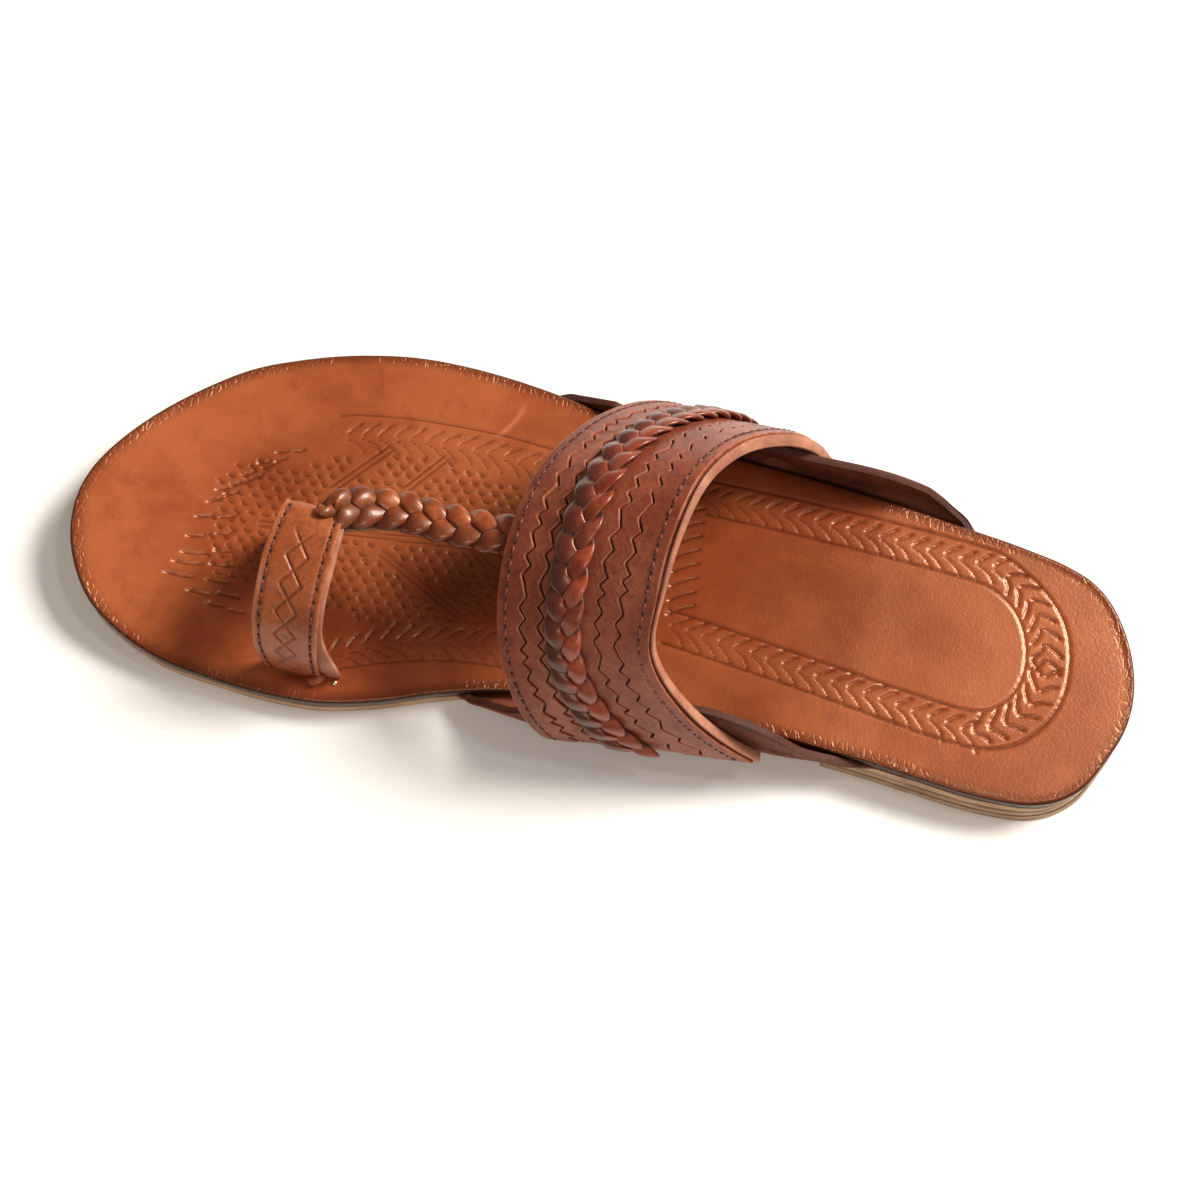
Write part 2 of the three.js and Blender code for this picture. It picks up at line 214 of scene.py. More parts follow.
def width_table():
    at = np.array(outline["at"], float)
    medial, lateral = np.array(outline["medial"]), np.array(outline["lateral"])
    fullness = (medial - lateral) / 2 / roundness(at)
    middle = (medial + lateral) / 2
    return {
        "at": (HEEL_END, *at, TOE_END),
        "fullness": (fullness[0], *fullness, fullness[-1]),
        "middle": (end_middle["heel"], *middle, end_middle["toe"]),
    }


widths = width_table()


def sole_edge(at, side):
    half = along(widths, "at", "fullness", at) * roundness(at)
    return along(widths, "at", "middle", at) + side * half


def underside(at):
    return np.maximum(along(underside_curve, "at", "height", at), 0)


def outsole_top(at):
    return underside(at) + outsole_thickness


def insole_top(at):
    return outsole_top(at) + insole_gap + insole_thickness


def sole_place(reach, side, inset):
    """Plan place on the sole: reach -1 heel to 1 toe, side -1 lateral to 1 medial."""
    at = sole_centre + sole_half * reach
    half = along(widths, "at", "fullness", at) * np.sqrt(np.clip(1 - reach * reach, 0, 1))
    x = sole_centre + (sole_half - inset) * reach
    y = along(widths, "at", "middle", at) + side * half * (1 - inset / usual_half_width)
    return x, y


# --- surfaces: band


def band_crown(v):
    swell = band_crowns["swell"] * 4 * v * (1 - v)
    return mix(band_crowns["rear"], band_crowns["front"], v) + swell


def band_face(u, v):
    """Outer face of the band: u round the arch, v from rear edge to front edge."""
    u, v = paired(u, v)
    degrees = 180 * u
    turn = np.radians(degrees)
    lean, rear, front = (
        np.where(u > 0.5, band_foot["lateral"][key], band_foot["medial"][key])
        for key in ("lean", "rear", "front")
    )
    lift = np.maximum(np.sin(turn), 0) ** lean
    return points(
        mix(along(band_edges, "degrees", "rear", degrees),
            along(band_edges, "degrees", "front", degrees), v),
        mix(rear, front, v) * np.abs(np.cos(turn)),
        band_hem + (band_crown(v) - band_hem) * lift,
    )


def band_walk():
    """Share of the way round the arch, by length, for each u, and its length."""
    u = np.linspace(0, 1, 401)
    run = walked(band_face(u, 0.5))
    return u, run / run[-1], run[-1]


walk_u, walk_share, band_length = band_walk()


def band_turn(share):
    return np.interp(share, walk_share, walk_u)


def band_place(share, v, offset):
    return on_surface(band_face, band_turn(share), v, offset)


def band_inside(at, height, side):
    """How far out the band's inner face stands at one station and height."""
    foot = band_foot["medial" if side > 0 else "lateral"]
    v = np.full_like(at, 0.5)
    turn = np.zeros_like(at)
    for _ in range(6):
        share = np.clip((height - band_hem) / (band_crown(v) - band_hem), 0, 1)
        turn = np.arcsin(share ** (1 / foot["lean"]))
        degrees = np.degrees(turn) if side > 0 else 180 - np.degrees(turn)
        rear = along(band_edges, "degrees", "rear", degrees)
        front = along(band_edges, "degrees", "front", degrees)
        v = np.clip((at - rear) / (front - rear), 0, 1)
    return np.abs(mix(foot["rear"], foot["front"], v)) * np.cos(turn) - band_thickness


# --- surfaces: ears, straps


def ear_face(ear, u, v):
    """Middle of an ear: v 0 at its hidden tab, 0.1 at the sole edge, 1 at its rim."""
    side = ear["side"]
    at = mix(ear["at"][0], ear["at"][-1], u if side > 0 else 1 - u)
    edge = side * sole_edge(at, side)
    root = outsole_top(at) - ear_thickness / 2
    rise = along(ear, "at", "rise", at)
    clearance = insole_gap + ear_thickness / 2
    wanted = band_inside(at, root + ear_bend, side) - clearance - edge
    fade = np.minimum(rise / 14, 1)
    flare = np.maximum(wanted * fade * (2 - fade), ear_least_flare)
    bend = np.minimum(np.minimum(ear_bend, 1.15 * flare), rise)
    flare = mix(-2.2, flare, ramp(0.5, 3.4, rise))
    tab_end, bend_end = 0.1, 0.5
    turn = (math.pi / 2) * np.clip((v - tab_end) / (bend_end - tab_end), 0, 1)
    out = edge + flare * np.sin(turn) - ear_tab * np.clip(1 - v / tab_end, 0, 1)
    height = root + bend * (1 - np.cos(turn))
    flap = np.clip((v - bend_end) / (1 - bend_end), 0, 1)
    height = np.where(v > bend_end, root + mix(bend, rise, flap), height)
    inside = band_inside(at, height, side)
    lean = inside - band_inside(at, root + bend, side)
    room = np.where(height > band_hem, inside - clearance - ear_slack, 1e6)
    out = np.where(v > bend_end, np.minimum(edge + flare + lean, room), out)
    return points(at, side * out, height)


def toe_loop_face(u, v):
    """Upper face of the toe loop: u from the big-toe side, v rear to front."""
    u, v = paired(u, v)
    row = u * (len(toe_loop["row"]) - 1)
    return points(
        along(toe_loop, "row", "centre", row)
        + mix(-1, 1, v) * along(toe_loop, "row", "half_width", row),
        along(toe_loop, "row", "across", row),
        along(toe_loop, "row", "height", row),
    )


def instep_strap_face(u, v):
    """Upper face of the instep strap: u band to toe loop, v lateral to medial."""
    u, v = paired(u, v)
    at = mix(instep_strap["at"][0], instep_strap["at"][-1], u)
    across = mix(-1, 1, v) * along(instep_strap, "at", "half_width", at)
    crown = 0.9 * (1 - (2 * v - 1) ** 2)
    return points(
        at,
        along(instep_strap, "at", "across", at) + across,
        along(instep_strap, "at", "height", at) + crown,
    )


# --- mesh workshop


def flat_blank(lengths, widths_count):
    """Flat piece of leather one unit long and wide, seen from its outer face."""
    bm = bmesh.new()
    bmesh.ops.create_grid(bm, x_segments=lengths, y_segments=widths_count, size=0.5)
    bmesh.ops.translate(bm, verts=bm.verts[:], vec=(0.5, 0.5, 0))
    return bm


def thick_blank(lengths, widths_count):
    """The same with a wall: z 0 on its inner face, 1 on its outer face."""
    bm = flat_blank(lengths, widths_count)
    made = bmesh.ops.extrude_face_region(
        bm, geom=bm.faces[:] + bm.edges[:] + bm.verts[:], use_keep_orig=True
    )
    raised = [g for g in made["geom"] if isinstance(g, bmesh.types.BMVert)]
    bmesh.ops.translate(bm, verts=raised, vec=(0, 0, 1))
    return bm


def rod_blank(rings, sides):
    """Closed rod, one unit long on z, to be laid along a path."""
    bm = bmesh.new()
    bmesh.ops.create_cone(
        bm, cap_ends=True, cap_tris=False, segments=sides, radius1=1, radius2=1, depth=1
    )
    bmesh.ops.translate(bm, verts=bm.verts[:], vec=(0, 0, 0.5))
    upright = [e for e in bm.edges if abs(e.verts[0].co.z - e.verts[1].co.z) > 0.5]
    bmesh.ops.subdivide_edges(bm, edges=upright, cuts=rings, use_grid_fill=True)
    return bm


def shape(bm, place):
    """Moves each vertex from its place on the blank to its place on the shoe.

    place takes the blank's coordinates and returns the new ones and, if the
    finish needs them, named marks for each vertex.
    """
    flat = np.array([vert.co[:] for vert in bm.verts])
    moved, marks = place(flat)
    for vert, point in zip(bm.verts, moved * mm):
        vert.co = point
    for name, values in marks.items():
        layer = bm.verts.layers.float.new(name)
        for vert, value in zip(bm.verts, np.broadcast_to(values, len(moved))):
            vert[layer] = float(value)
    return bm


def piece(name, bm, finish, replaces=(), edge_round=0.0, soften=0):
    """Closes the mesh, gives it its finish and hangs it on the shoe."""
    bmesh.ops.remove_doubles(bm, verts=bm.verts[:], dist=2e-7)
    bmesh.ops.dissolve_degenerate(bm, edges=bm.edges[:], dist=1e-8)
    bmesh.ops.recalc_face_normals(bm, faces=bm.faces[:])
    for face in bm.faces:
        face.smooth = True
    mesh = bpy.data.meshes.new(name)
    bm.to_mesh(mesh)
    bm.free()
    mesh.materials.append(finish)
    made = bpy.data.objects.new(name, mesh)
    bpy.context.scene.collection.objects.link(made)
    if edge_round:
        bevel = made.modifiers.new("cut edges", "BEVEL")
        bevel.width = edge_round * mm
        bevel.segments = 2
        bevel.limit_method = "ANGLE"
        bevel.angle_limit = math.radians(50)
    if soften:
        subdivision = made.modifiers.new("softened", "SUBSURF")
        subdivision.levels = subdivision.render_levels = soften
    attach(made, "root")
    if replaces:
        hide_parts(*replaces)


def join_into(target, source):
    """Adds one blank's geometry to another and frees it."""
    scratch = bpy.data.meshes.new("scratch")
    source.to_mesh(scratch)
    source.free()
    target.from_mesh(scratch)
    bpy.data.meshes.remove(scratch)


# --- shader workshop


def colour(red, green, blue):
    """A dye given as it is mixed on screen, 0 to 255, as light amounts."""
    def light(value):
        value /= 255
        return value / 12.92 if value <= 0.04045 else ((value + 0.055) / 1.055) ** 2.4
    return (light(red), light(green), light(blue), 1.0)


class Wire:
    """A node's output. Arithmetic on it adds Math nodes."""

    def __init__(self, finish, socket):
        self.finish = finish
        self.socket = socket

    def math(self, operation, first, second):
        return self.finish.node("Math", {"operation": operation}, {0: first, 1: second})

    def __add__(self, other):
        return self.math("ADD", self, other)

    def __sub__(self, other):
        return self.math("SUBTRACT", self, other)

    def __rsub__(self, other):
        return self.math("SUBTRACT", other, self)

    def __mul__(self, other):
        return self.math("MULTIPLY", self, other)

    __radd__, __rmul__ = __add__, __mul__

    def between(self, low, high):
        """0 below low and 1 above high, eased between."""
        return self.finish.node(
            "MapRange",
            {"interpolation_type": "SMOOTHSTEP"},
            {"Value": self, "From Min": low, "From Max": high},
        )


class Finish:
    """One material, built up from nodes."""

    def __init__(self, name):
        self.material = bpy.data.materials.new(name)
        self.material.use_nodes = True
        self.tree = self.material.node_tree
        self.tree.nodes.clear()

    def node(self, kind, settings=None, values=None, output=0):
        made = self.tree.nodes.new("ShaderNode" + kind)
        for key, value in (settings or {}).items():
            setattr(made, key, value)
        for key, value in (values or {}).items():
            socket = made.inputs[key]
            if isinstance(value, Wire):
                self.tree.links.new(value.socket, socket)
            else:
                socket.default_value = value
        return Wire(self, made.outputs[output]) if len(made.outputs) else None

    def place(self):
        return self.node("TexCoord", output="Object")

    def mark(self, name):
        return self.node("Attribute", {"attribute_name": name}, output="Fac")

    def stretched(self, scale):
        return self.node("Mapping", None, {"Vector": self.place(), "Scale": scale})

    def noise(self, size, detail, roughness, where=None, distortion=0.0):
        """Cloudy pattern, size in millimetres."""
        return self.node("TexNoise", None, {
            "Vector": where or self.place(), "Scale": 1 / (size * mm), "Detail": detail,
            "Roughness": roughness, "Distortion": distortion,
        })

    def cells(self, size, feature="F1", where=None):
        """Cell pattern, size in millimetres."""
        return self.node("TexVoronoi", {"feature": feature}, {
            "Vector": where or self.place(), "Scale": 1 / (size * mm),
        })

    def blend(self, first, second, share):
        """Colour between two colours; a dye is given as it is mixed on screen."""
        first, second = (c if isinstance(c, Wire) else colour(*c) for c in (first, second))
        return self.node("Mix", {"data_type": "RGBA"}, {0: share, 6: first, 7: second}, 2)

    def dyed(self, ground, *coats):
        """A ground colour with coats over it, each a dye and its share."""
        for dye, share in coats:
            ground = self.blend(ground, dye, share)
        return ground

    def bump(self, height, depth):
        """Raised surface, depth in millimetres for a height of one."""
        return self.node("Bump", None, {"Height": height, "Distance": depth * mm}, "Normal")

    def leather(self, **values):
        """Ends the material in one Principled surface."""
        renamed = {
            key.replace("_", " ").title().replace("Ior", "IOR"): value
            for key, value in values.items()
        }
        surface = self.node("BsdfPrincipled", None, renamed)
        self.node("OutputMaterial", None, {"Surface": surface})
        return self.material


# --- finishes


def insole_finish():
    """Oiled chestnut leather, burnished at the rim, darker in the tool marks, with painted shade
    where the band and instep strap cast shadow and round the toe-loop slots.
    """
    f = Finish("insole_leather")
    tool_marks_and_slot_shade, rim, shade, scuff = (f.mark(m) for m in ("tool_marks_and_slot_shade", "rim", "shade", "scuff"))
    clouds = f.noise(38, 5, 0.6)
    mottle = f.noise(7, 4, 0.6)
    streaks = f.noise(9, 4, 0.65, f.stretched((0.25, 1.0, 1.0)))
    pores = f.cells(0.75)
    fine = f.noise(0.9, 3, 0.6)
    crackle = f.cells(1.6, "DISTANCE_TO_EDGE", f.stretched((1.0, 0.6, 1.0)))
    base = f.dyed(
        f.blend((136, 62, 33), (166, 89, 51), clouds.between(0.34, 0.68)),
        ((116, 46, 17), mottle.between(0.5, 0.8) * 0.45),
        ((184, 102, 48), streaks.between(0.55, 0.8) * 0.3),
        # painted shade: the band's and instep strap's shadow on the forefoot, and a darker heel
        # seat
        ((70, 21, 7), shade * 0.88),
        # tool marks are darker; this mark also carries painted shade round the toe-loop slots
        ((66, 24, 12), tool_marks_and_slot_shade.between(0.15, 0.95) * 0.66),
        ((206, 126, 84), scuff * 0.5),
        ((84, 34, 18), rim.between(0.05, 0.8) * 0.72),
        ((34, 14, 10), rim.between(0.8, 1.0) * 0.92),
    )
    rough = 0.24 + mottle * 0.13 - tool_marks_and_slot_shade * 0.08 + scuff * 0.15 - rim * 0.05
    cracked = (1 - crackle.between(0.02, 0.16)) * rim.between(0.08, 0.5) * clouds.between(0.4, 0.6)
    height = fine * 0.45 - pores * 0.2 + mottle * 0.6 - cracked * 0.9
    return f.leather(
        base_color=base, roughness=rough, coat_weight=0.1, coat_roughness=0.12,
        specular_ior_level=0.5, specular_tint=(1.0, 0.6, 0.36, 1), normal=f.bump(height, 0.11),
    )


def outsole_finish():
    """Raw vegetable-tanned sole leather, its cut edge streaked by the layers."""
    f = Finish("outsole_leather")
    level = f.mark("level")
    fibres = f.noise(3.2, 5, 0.65, f.stretched((0.35, 0.35, 6.0)))
    dirt = f.noise(14, 4, 0.6)
    pores = f.noise(0.8, 3, 0.6)
    seam = level.between(0.9, 1.0)
    base = f.dyed(
        f.blend((166, 126, 96), (208, 172, 138), fibres.between(0.3, 0.72)),
        ((118, 78, 54), dirt.between(0.45, 0.75) * 0.5),
        ((84, 46, 30), seam * 0.75),
        ((120, 84, 60), (1 - level.between(0.0, 0.15)) * 0.5),
    )
    height = fibres * 1.0 + pores * 0.3
    return f.leather(
        base_color=base, roughness=0.62 + dirt * 0.2, normal=f.bump(height, 0.16),
    )


def heel_finish():
    """Two lifts pasted together, with a dark paste line between them."""
    f = Finish("stacked_leather")
    level = f.mark("level")
    fibres = f.noise(3.0, 5, 0.65, f.stretched((0.3, 0.3, 6.0)))
    dirt = f.noise(11, 4, 0.6)
    line = level.between(0.44, 0.5) * (1 - level.between(0.52, 0.58))
    base = f.dyed(
        f.blend((168, 130, 100), (208, 174, 142), fibres.between(0.3, 0.72)),
        ((124, 84, 62), dirt.between(0.4, 0.75) * 0.45),
        ((62, 36, 26), line * 0.8),
    )
    return f.leather(
        base_color=base, roughness=0.66 + dirt * 0.18,
        normal=f.bump(fibres - line * 2.0, 0.16),
    )


def strap_finish(name, dark, mid, light, pale_edge_and_highlight, gloss=0.12):
    """Dyed upper leather with a fine grain, pale along its cut edges from wear and from a painted
    highlight.
    """
    f = Finish(name)
    edge = f.mark("edge")
    clouds = f.noise(16, 4, 0.6)
    mottle = f.noise(3.4, 4, 0.6)
    grain = f.cells(0.85)
    fine = f.noise(0.6, 2, 0.6)
    base = f.dyed(
        f.blend(mid, light, clouds.between(0.38, 0.7)),
        (dark, mottle.between(0.46, 0.78) * 0.6),
        (dark, grain.between(0.35, 0.8) * 0.25),
        # pale cut edges, partly wear and partly a painted highlight
        (pale_edge_and_highlight, edge.between(0.3, 1.0) * mottle.between(0.36, 0.62) * 0.55),
        (dark, f.mark("tool_marks_and_slot_shade").between(0.15, 0.9) * 0.6),
    )
    rough = 0.36 + mottle * 0.18
    height = mottle * 0.7 - grain * 0.35 + fine * 0.25
    return f.leather(
        base_color=base, roughness=rough, coat_weight=gloss, coat_roughness=0.2,
        specular_tint=(1.0, 0.72, 0.56, 1),
        normal=f.bump(height, 0.12),
    )


def strand_finish(name, dark, mid, light, front):
    """Narrow plaiting strips, polished on top, with painted shade where they dip under each other,
    near the toe loop and along one side of each plait.
    """
    f = Finish(name)
    tuck_shade, edge = f.mark("tuck_shade"), f.mark("edge")
    clouds = f.noise(6, 3, 0.6)
    mottle = f.noise(1.8, 3, 0.6)
    fine = f.noise(0.5, 2, 0.6)
    base = f.dyed(
        f.blend(mid, light, clouds.between(0.36, 0.68)),
        # painted shade: one side of each plait, turned from the lamp, dyed darker and greyer
        (front, f.mark("front") * 0.85),
        (dark, mottle.between(0.5, 0.8) * 0.5),
        # painted shade where strands dip under each other and near the toe loop
        (dark, tuck_shade.between(0.25, 0.9) * 0.85),
        (dark, edge.between(0.55, 1.0) * 0.5),
    )
    rough = 0.27 + mottle * 0.16 + tuck_shade * 0.2
    return f.leather(
        base_color=base, roughness=rough, coat_weight=0.32, coat_roughness=0.18,
        specular_tint=(1.0, 0.7, 0.52, 1),
        normal=f.bump(mottle * 0.6 + fine * 0.3, 0.1),
    )


def lining_finish():
    """Undyed lining leather: pale orange tan, napped, darker where handled."""
    f = Finish("lining_leather")
    clouds = f.noise(9, 4, 0.6)
    nap = f.noise(0.7, 4, 0.7)
    base = f.dyed(
        f.blend((150, 92, 68), (184, 126, 98), clouds.between(0.35, 0.7)),
        ((122, 60, 44), nap.between(0.5, 0.8) * 0.45),
    )
    return f.leather(
        base_color=base, roughness=0.62 + nap * 0.2, normal=f.bump(nap, 0.14),
    )


def thread_finish():
    """Waxed dark brown thread."""
    f = Finish("waxed_thread")
    twist = f.noise(0.6, 2, 0.5)
    base = f.blend((74, 30, 20), (138, 68, 44), twist.between(0.35, 0.7))
    return f.leather(base_color=base, roughness=0.34 + twist * 0.2, normal=f.bump(twist, 0.08))


def hole_shade_finish():
    """Near-black colour standing in for the painted shade inside awl piercings and the toe-loop
    slit.
    """
    f = Finish("awl_hole_shade")
    clouds = f.noise(1.0, 2, 0.5)
    return f.leather(
        base_color=f.blend((22, 10, 8), (44, 20, 14), clouds), roughness=0.8 + clouds * 0.1
    )


def ear_finish():
    """Side flaps: smooth dark brown face, rough at the rim."""
    f = Finish("ear_leather")
    edge = f.mark("edge")
    clouds = f.noise(15, 4, 0.6)
    wrinkle = f.noise(5, 4, 0.65, f.stretched((1.0, 1.0, 0.35)), 0.6)
    nap = f.noise(0.9, 4, 0.7)
    base = f.dyed(
        f.blend((88, 40, 26), (128, 66, 44), clouds.between(0.35, 0.7)),
        ((148, 84, 62), wrinkle.between(0.5, 0.78) * 0.5),
        ((58, 28, 22), edge.between(0.35, 0.9) * 0.75),
        ((168, 104, 78), nap.between(0.55, 0.8) * edge.between(0.5, 0.8) * 0.5),
    )
    return f.leather(
        base_color=base, roughness=0.58 + nap * 0.2, specular_ior_level=0.3,
        normal=f.bump(wrinkle * 1.6 + nap * 0.5, 0.22),
    )


def pin_finish():
    """Small bright tack."""
    f = Finish("tack_metal")
    tarnish = f.noise(0.8, 3, 0.5)
    base = f.blend((226, 214, 190), (176, 150, 110), tarnish.between(0.4, 0.8))
    return f.leather(base_color=base, metallic=1.0, roughness=0.2 + tarnish * 0.2)


def floor_finish():
    """Plain pale studio sweep."""
    f = Finish("pale_floor")
    clouds = f.noise(300, 2, 0.5)
    base = f.blend((246, 245, 242), (250, 249, 247), clouds)
    return f.leather(base_color=base, roughness=0.9 + clouds * 0.02)


# --- tool marks


def beside(x, y, start, end):
    """How far along a segment each place lies, 0 to 1, and how far from it."""
    (ax, ay), (bx, by) = start, end
    run_x, run_y = bx - ax, by - ay
    t = np.clip(((x - ax) * run_x + (y - ay) * run_y) / (run_x**2 + run_y**2), 0, 1)
    return t, np.hypot(x - ax - t * run_x, y - ay - t * run_y)


# a tool is its half width at the start and end of a stroke, its depth and darkness
leaf_strokes = (
    {"side": 1, "share": (0.54, 0.68), "slant": 1.0, "bow": (-0.04, 0.1),
     "tool": (0.26, 0.46, 0.6, 0.8)},
    {"side": -1, "share": (0.6, 0.7), "slant": 1.15, "bow": (0.04, 0.13),
     "tool": (0.24, 0.3, 0.28, 1.0)},
)
leaf_dot = (0.42, 0.42, 0.45, 1.0)
rear_tool = (0.42, 0.52, 0.56, 0.9)
bar_tool = (0.6, 0.42, 0.6, 0.8)
tip_tool = (0.34, 0.56, 0.85, 0.75)
dash_tool = (0.5, 0.36, 0.6, 0.95)
# and a line has one half width and a depth
border_line, rim_line, vein_line = (0.5, 0.34), (0.42, 0.26), (0.42, 0.4)
line_tone = 0.85


class Tooling:
    """Marks pressed into the damp insole by hand tools."""

    def __init__(self, x, y):
        self.x, self.y = x, y
        self.order = np.argsort(x)
        self.sorted_x = x[self.order]
        self.depth = np.zeros_like(x)
        self.tone = np.zeros_like(x)

    def stroke(self, path, start_width, end_width, depth, tone):
        """One pull of the tool along a path, its half width changing on the way."""
        path = np.asarray(path, float)
        margin = max(start_width, end_width) + 0.4
        low, high = np.searchsorted(
            self.sorted_x, (path[:, 0].min() - margin, path[:, 0].max() + margin)
        )
        near = self.order[low:high]
        y = self.y[near]
        near = near[(y > path[:, 1].min() - margin) & (y < path[:, 1].max() + margin)]
        if not len(near):
            return
        x, y = self.x[near], self.y[near]
        count = len(path) - 1
        pressed = np.zeros(len(near))
        for index in range(count):
            t, away = beside(x, y, path[index], path[index + 1])
            width = mix(start_width, end_width, (index + t) / count)
            pressed = np.maximum(pressed, np.clip(1.25 - away / width, 0, 1))
        pressed = pressed * pressed * (3 - 2 * pressed)
        self.depth[near] = np.maximum(self.depth[near], pressed * depth)
        self.tone[near] = np.maximum(self.tone[near], pressed * tone)

    def bowed(self, start, end, bow, *widths_and_depth):
        """A stroke that bows to one side."""
        (ax, ay), (bx, by) = start, end
        run_x, run_y = bx - ax, by - ay
        path = []
        for t in (0, 0.33, 0.67, 1):
            side = bow * 4 * t * (1 - t)
            path.append((ax + run_x * t - run_y * side, ay + run_y * t + run_x * side))
        self.stroke(path, *widths_and_depth)

    def line(self, path, width, depth):
        self.stroke(path, width, width, depth, line_tone)

    def chevrons(self, path, pitch, *lengths):
        """A row of leaf strokes either side of a centre line, pointing along it."""
        for (x, y), (dx, dy) in walk(path, pitch):
            nx, ny = (dy, -dx) if dx > 0 else (-dy, dx)
            for stroke, length in zip(leaf_strokes, lengths):
                side_x, side_y = stroke["side"] * nx, stroke["side"] * ny
                wobble = chance.uniform(-0.5, 0.5)
                reach = length * chance.uniform(*stroke["share"])
                back = reach * stroke["slant"] + wobble
                start = (x + side_x * 0.5, y + side_y * 0.5)
                end = (x + side_x * reach - dx * back, y + side_y * reach - dy * back)
                self.bowed(start, end, chance.uniform(*stroke["bow"]), *stroke["tool"])
            self.stroke([end, (end[0] + 0.05, end[1])], *leaf_dot)


def walk(path, pitch):
    """Even steps along a path, each with its direction."""
    path = np.asarray(path, float)
    run = walked(path)
    ease = 1.5

    def spot(s):
        return np.array([np.interp(s, run, path[:, k]) for k in (0, 1)])

    for s in np.arange(pitch / 2, run[-1], pitch):
        direction = spot(min(s + ease, run[-1])) - spot(max(s - ease, 0))
        yield spot(s), direction / np.linalg.norm(direction)


def smooth_path(corners, passes=3):
    """Rounds the corners of a path."""
    path = np.asarray(corners, float)
    for _ in range(passes):
        cut = [path[0]]
        for a, b in zip(path[:-1], path[1:]):
            cut += [a * 0.75 + b * 0.25, a * 0.25 + b * 0.75]
        cut.append(path[-1])
        path = np.array(cut)
    return path


heel_border = {
    "outer": ((-16, 14.6), (-60, 19.9), (-95, 24.6), (-106, 22.4), (-113.5, 16), (-118.6, 6),
              (-118.8, -6), (-116, -15), (-109.5, -22.4), (-100, -28.2), (-94, -30.6),
              (-20, -32.2)),
    "inner": ((-16, 5.4), (-60, 11.2), (-90, 14.6), (-99, 14.4), (-104.8, 9.8), (-107.8, 2),
              (-107.4, -6), (-104, -14), (-97, -19.4), (-90, -20.6), (-20, -22.6)),
    "medial": ((-96.5, 20.2), (-60, 15.4), (-16, 9.6)),
    "lateral": ((-98, -24.8), (-60, -26.4), (-16, -27.6)),
    "rear": ((-98, -24.6), (-106, -19.4), (-111.6, -10.5), (-113, -1), (-111.6, 7.5),
             (-105.5, 15.6), (-97, 19.6)),
}

bars = {"count": 8, "start": (-13.5, -20.5), "step": (-0.4, 3.9), "run": (-6.0, -3.6),
        "bow": 0.05}

leaf = {"centre": (54.5, 1.9), "long": 60.0, "wide": 32.0, "slope": 0.12}
dash_pitch, dash_rows, dash_half_length = 3.5, 2.5, 0.75
vein_clearance, vein_half_width = 2.0, 0.75
leaf_borders = {
    "medial": ((18, 24), (30, 25), (42, 27), (52, 30), (60, 34), (67, 38.5)),
    "lateral": ((16, -25.5), (40, -27), (62, -25.8), (78, -22)),
}
leaf_rims = (
    ((18, 29.4), (34, 30.6), (50, 35), (62, 40)),
    ((16, -31.4), (40, -33), (66, -31.6), (80, -28)),
)
leaf_veins = (
    ((8, -3.6), (60, 2.2), (92, 6.4)),
    ((35.5, 18.9), (59.5, 6.9)),
    ((24.5, 8.9), (37.5, -0.1)),
    ((9.5, -3.1), (13.5, -7.1)),
    ((49.5, -23.1), (57.5, -12.1)),
    ((64.5, -22.1), (76.5, -7.1)),
)
tip_strokes = (
    ((88.5, 31.4), (99, 31.4)), ((90.5, 28.2), (105, 28.6)), ((93, 24.6), (112.5, 25.8)),
    ((94.5, 20.4), (111, 22.6)), ((95.5, 16.4), (109, 19.2)), ((97, 11.6), (109.5, 15)),
    ((98, 6.4), (108.6, 10)), ((99.5, -0.1), (106.6, 4.9)), ((97, -4.4), (105.4, 0.6)),
    ((94.5, -7.1), (102.5, -1.1)), ((92, -10.4), (100.4, -5)), ((89.5, -13.1), (97.5, -9.1)),
    ((86, -16), (94, -13)),
)


def press_insole(x, y):
    marks = Tooling(x, y)
    for name in ("outer", "inner"):
        marks.line(smooth_path(heel_border[name]), *border_line)
    marks.chevrons(smooth_path(heel_border["medial"], 2), 4.3, 5.6, 6.6)
    marks.chevrons(smooth_path(heel_border["lateral"], 2), 4.3, 5.2, 6.6)
    for (px, py), (dx, dy) in walk(smooth_path(heel_border["rear"]), 4.2):
        outward = np.array((dy, -dx))
        if outward[0] > 0:
            outward = -outward
        run = np.array((dx, dy)) * (1 if py < -2 else -1)
        for side, reach in ((outward, 4.4), (-outward, 4.6)):
            start = np.array((px, py)) + side * 0.5
            end = start + side * reach * 0.72 + run * reach * 0.72
            marks.bowed(start, end, chance.uniform(0.02, 0.12), *rear_tool)
    for index in range(bars["count"]):
        start = np.array(bars["start"]) + index * np.array(bars["step"])
        marks.bowed(start, start + bars["run"], bars["bow"], *bar_tool)
    for path in leaf_borders.values():
        marks.chevrons(smooth_path(path, 2), 4.2, 6.0, 6.8)
    for path in leaf_rims:
        marks.line(smooth_path(path), *rim_line)
    for path in leaf_veins:
        path = np.array(path, float)
        run = path[-1] - path[0]
        run /= np.linalg.norm(run)
        shift = np.array((-run[1], run[0])) * vein_half_width
        for side in (-1, 1):
            marks.line(path + shift * side, *vein_line)
    for start, end in np.array(tip_strokes):
        for shift in (0.0, 0.5):
            low, high = shift + chance.uniform(0.0, 0.08), shift + chance.uniform(0.36, 0.46)
            lean = np.array((0, chance.uniform(-0.5, 0.5) - 0.5))
            marks.bowed(mix(start, end, low) + lean, mix(start, end, high) + lean,
                        0.05, *tip_tool)
    stipple(marks)
    return marks


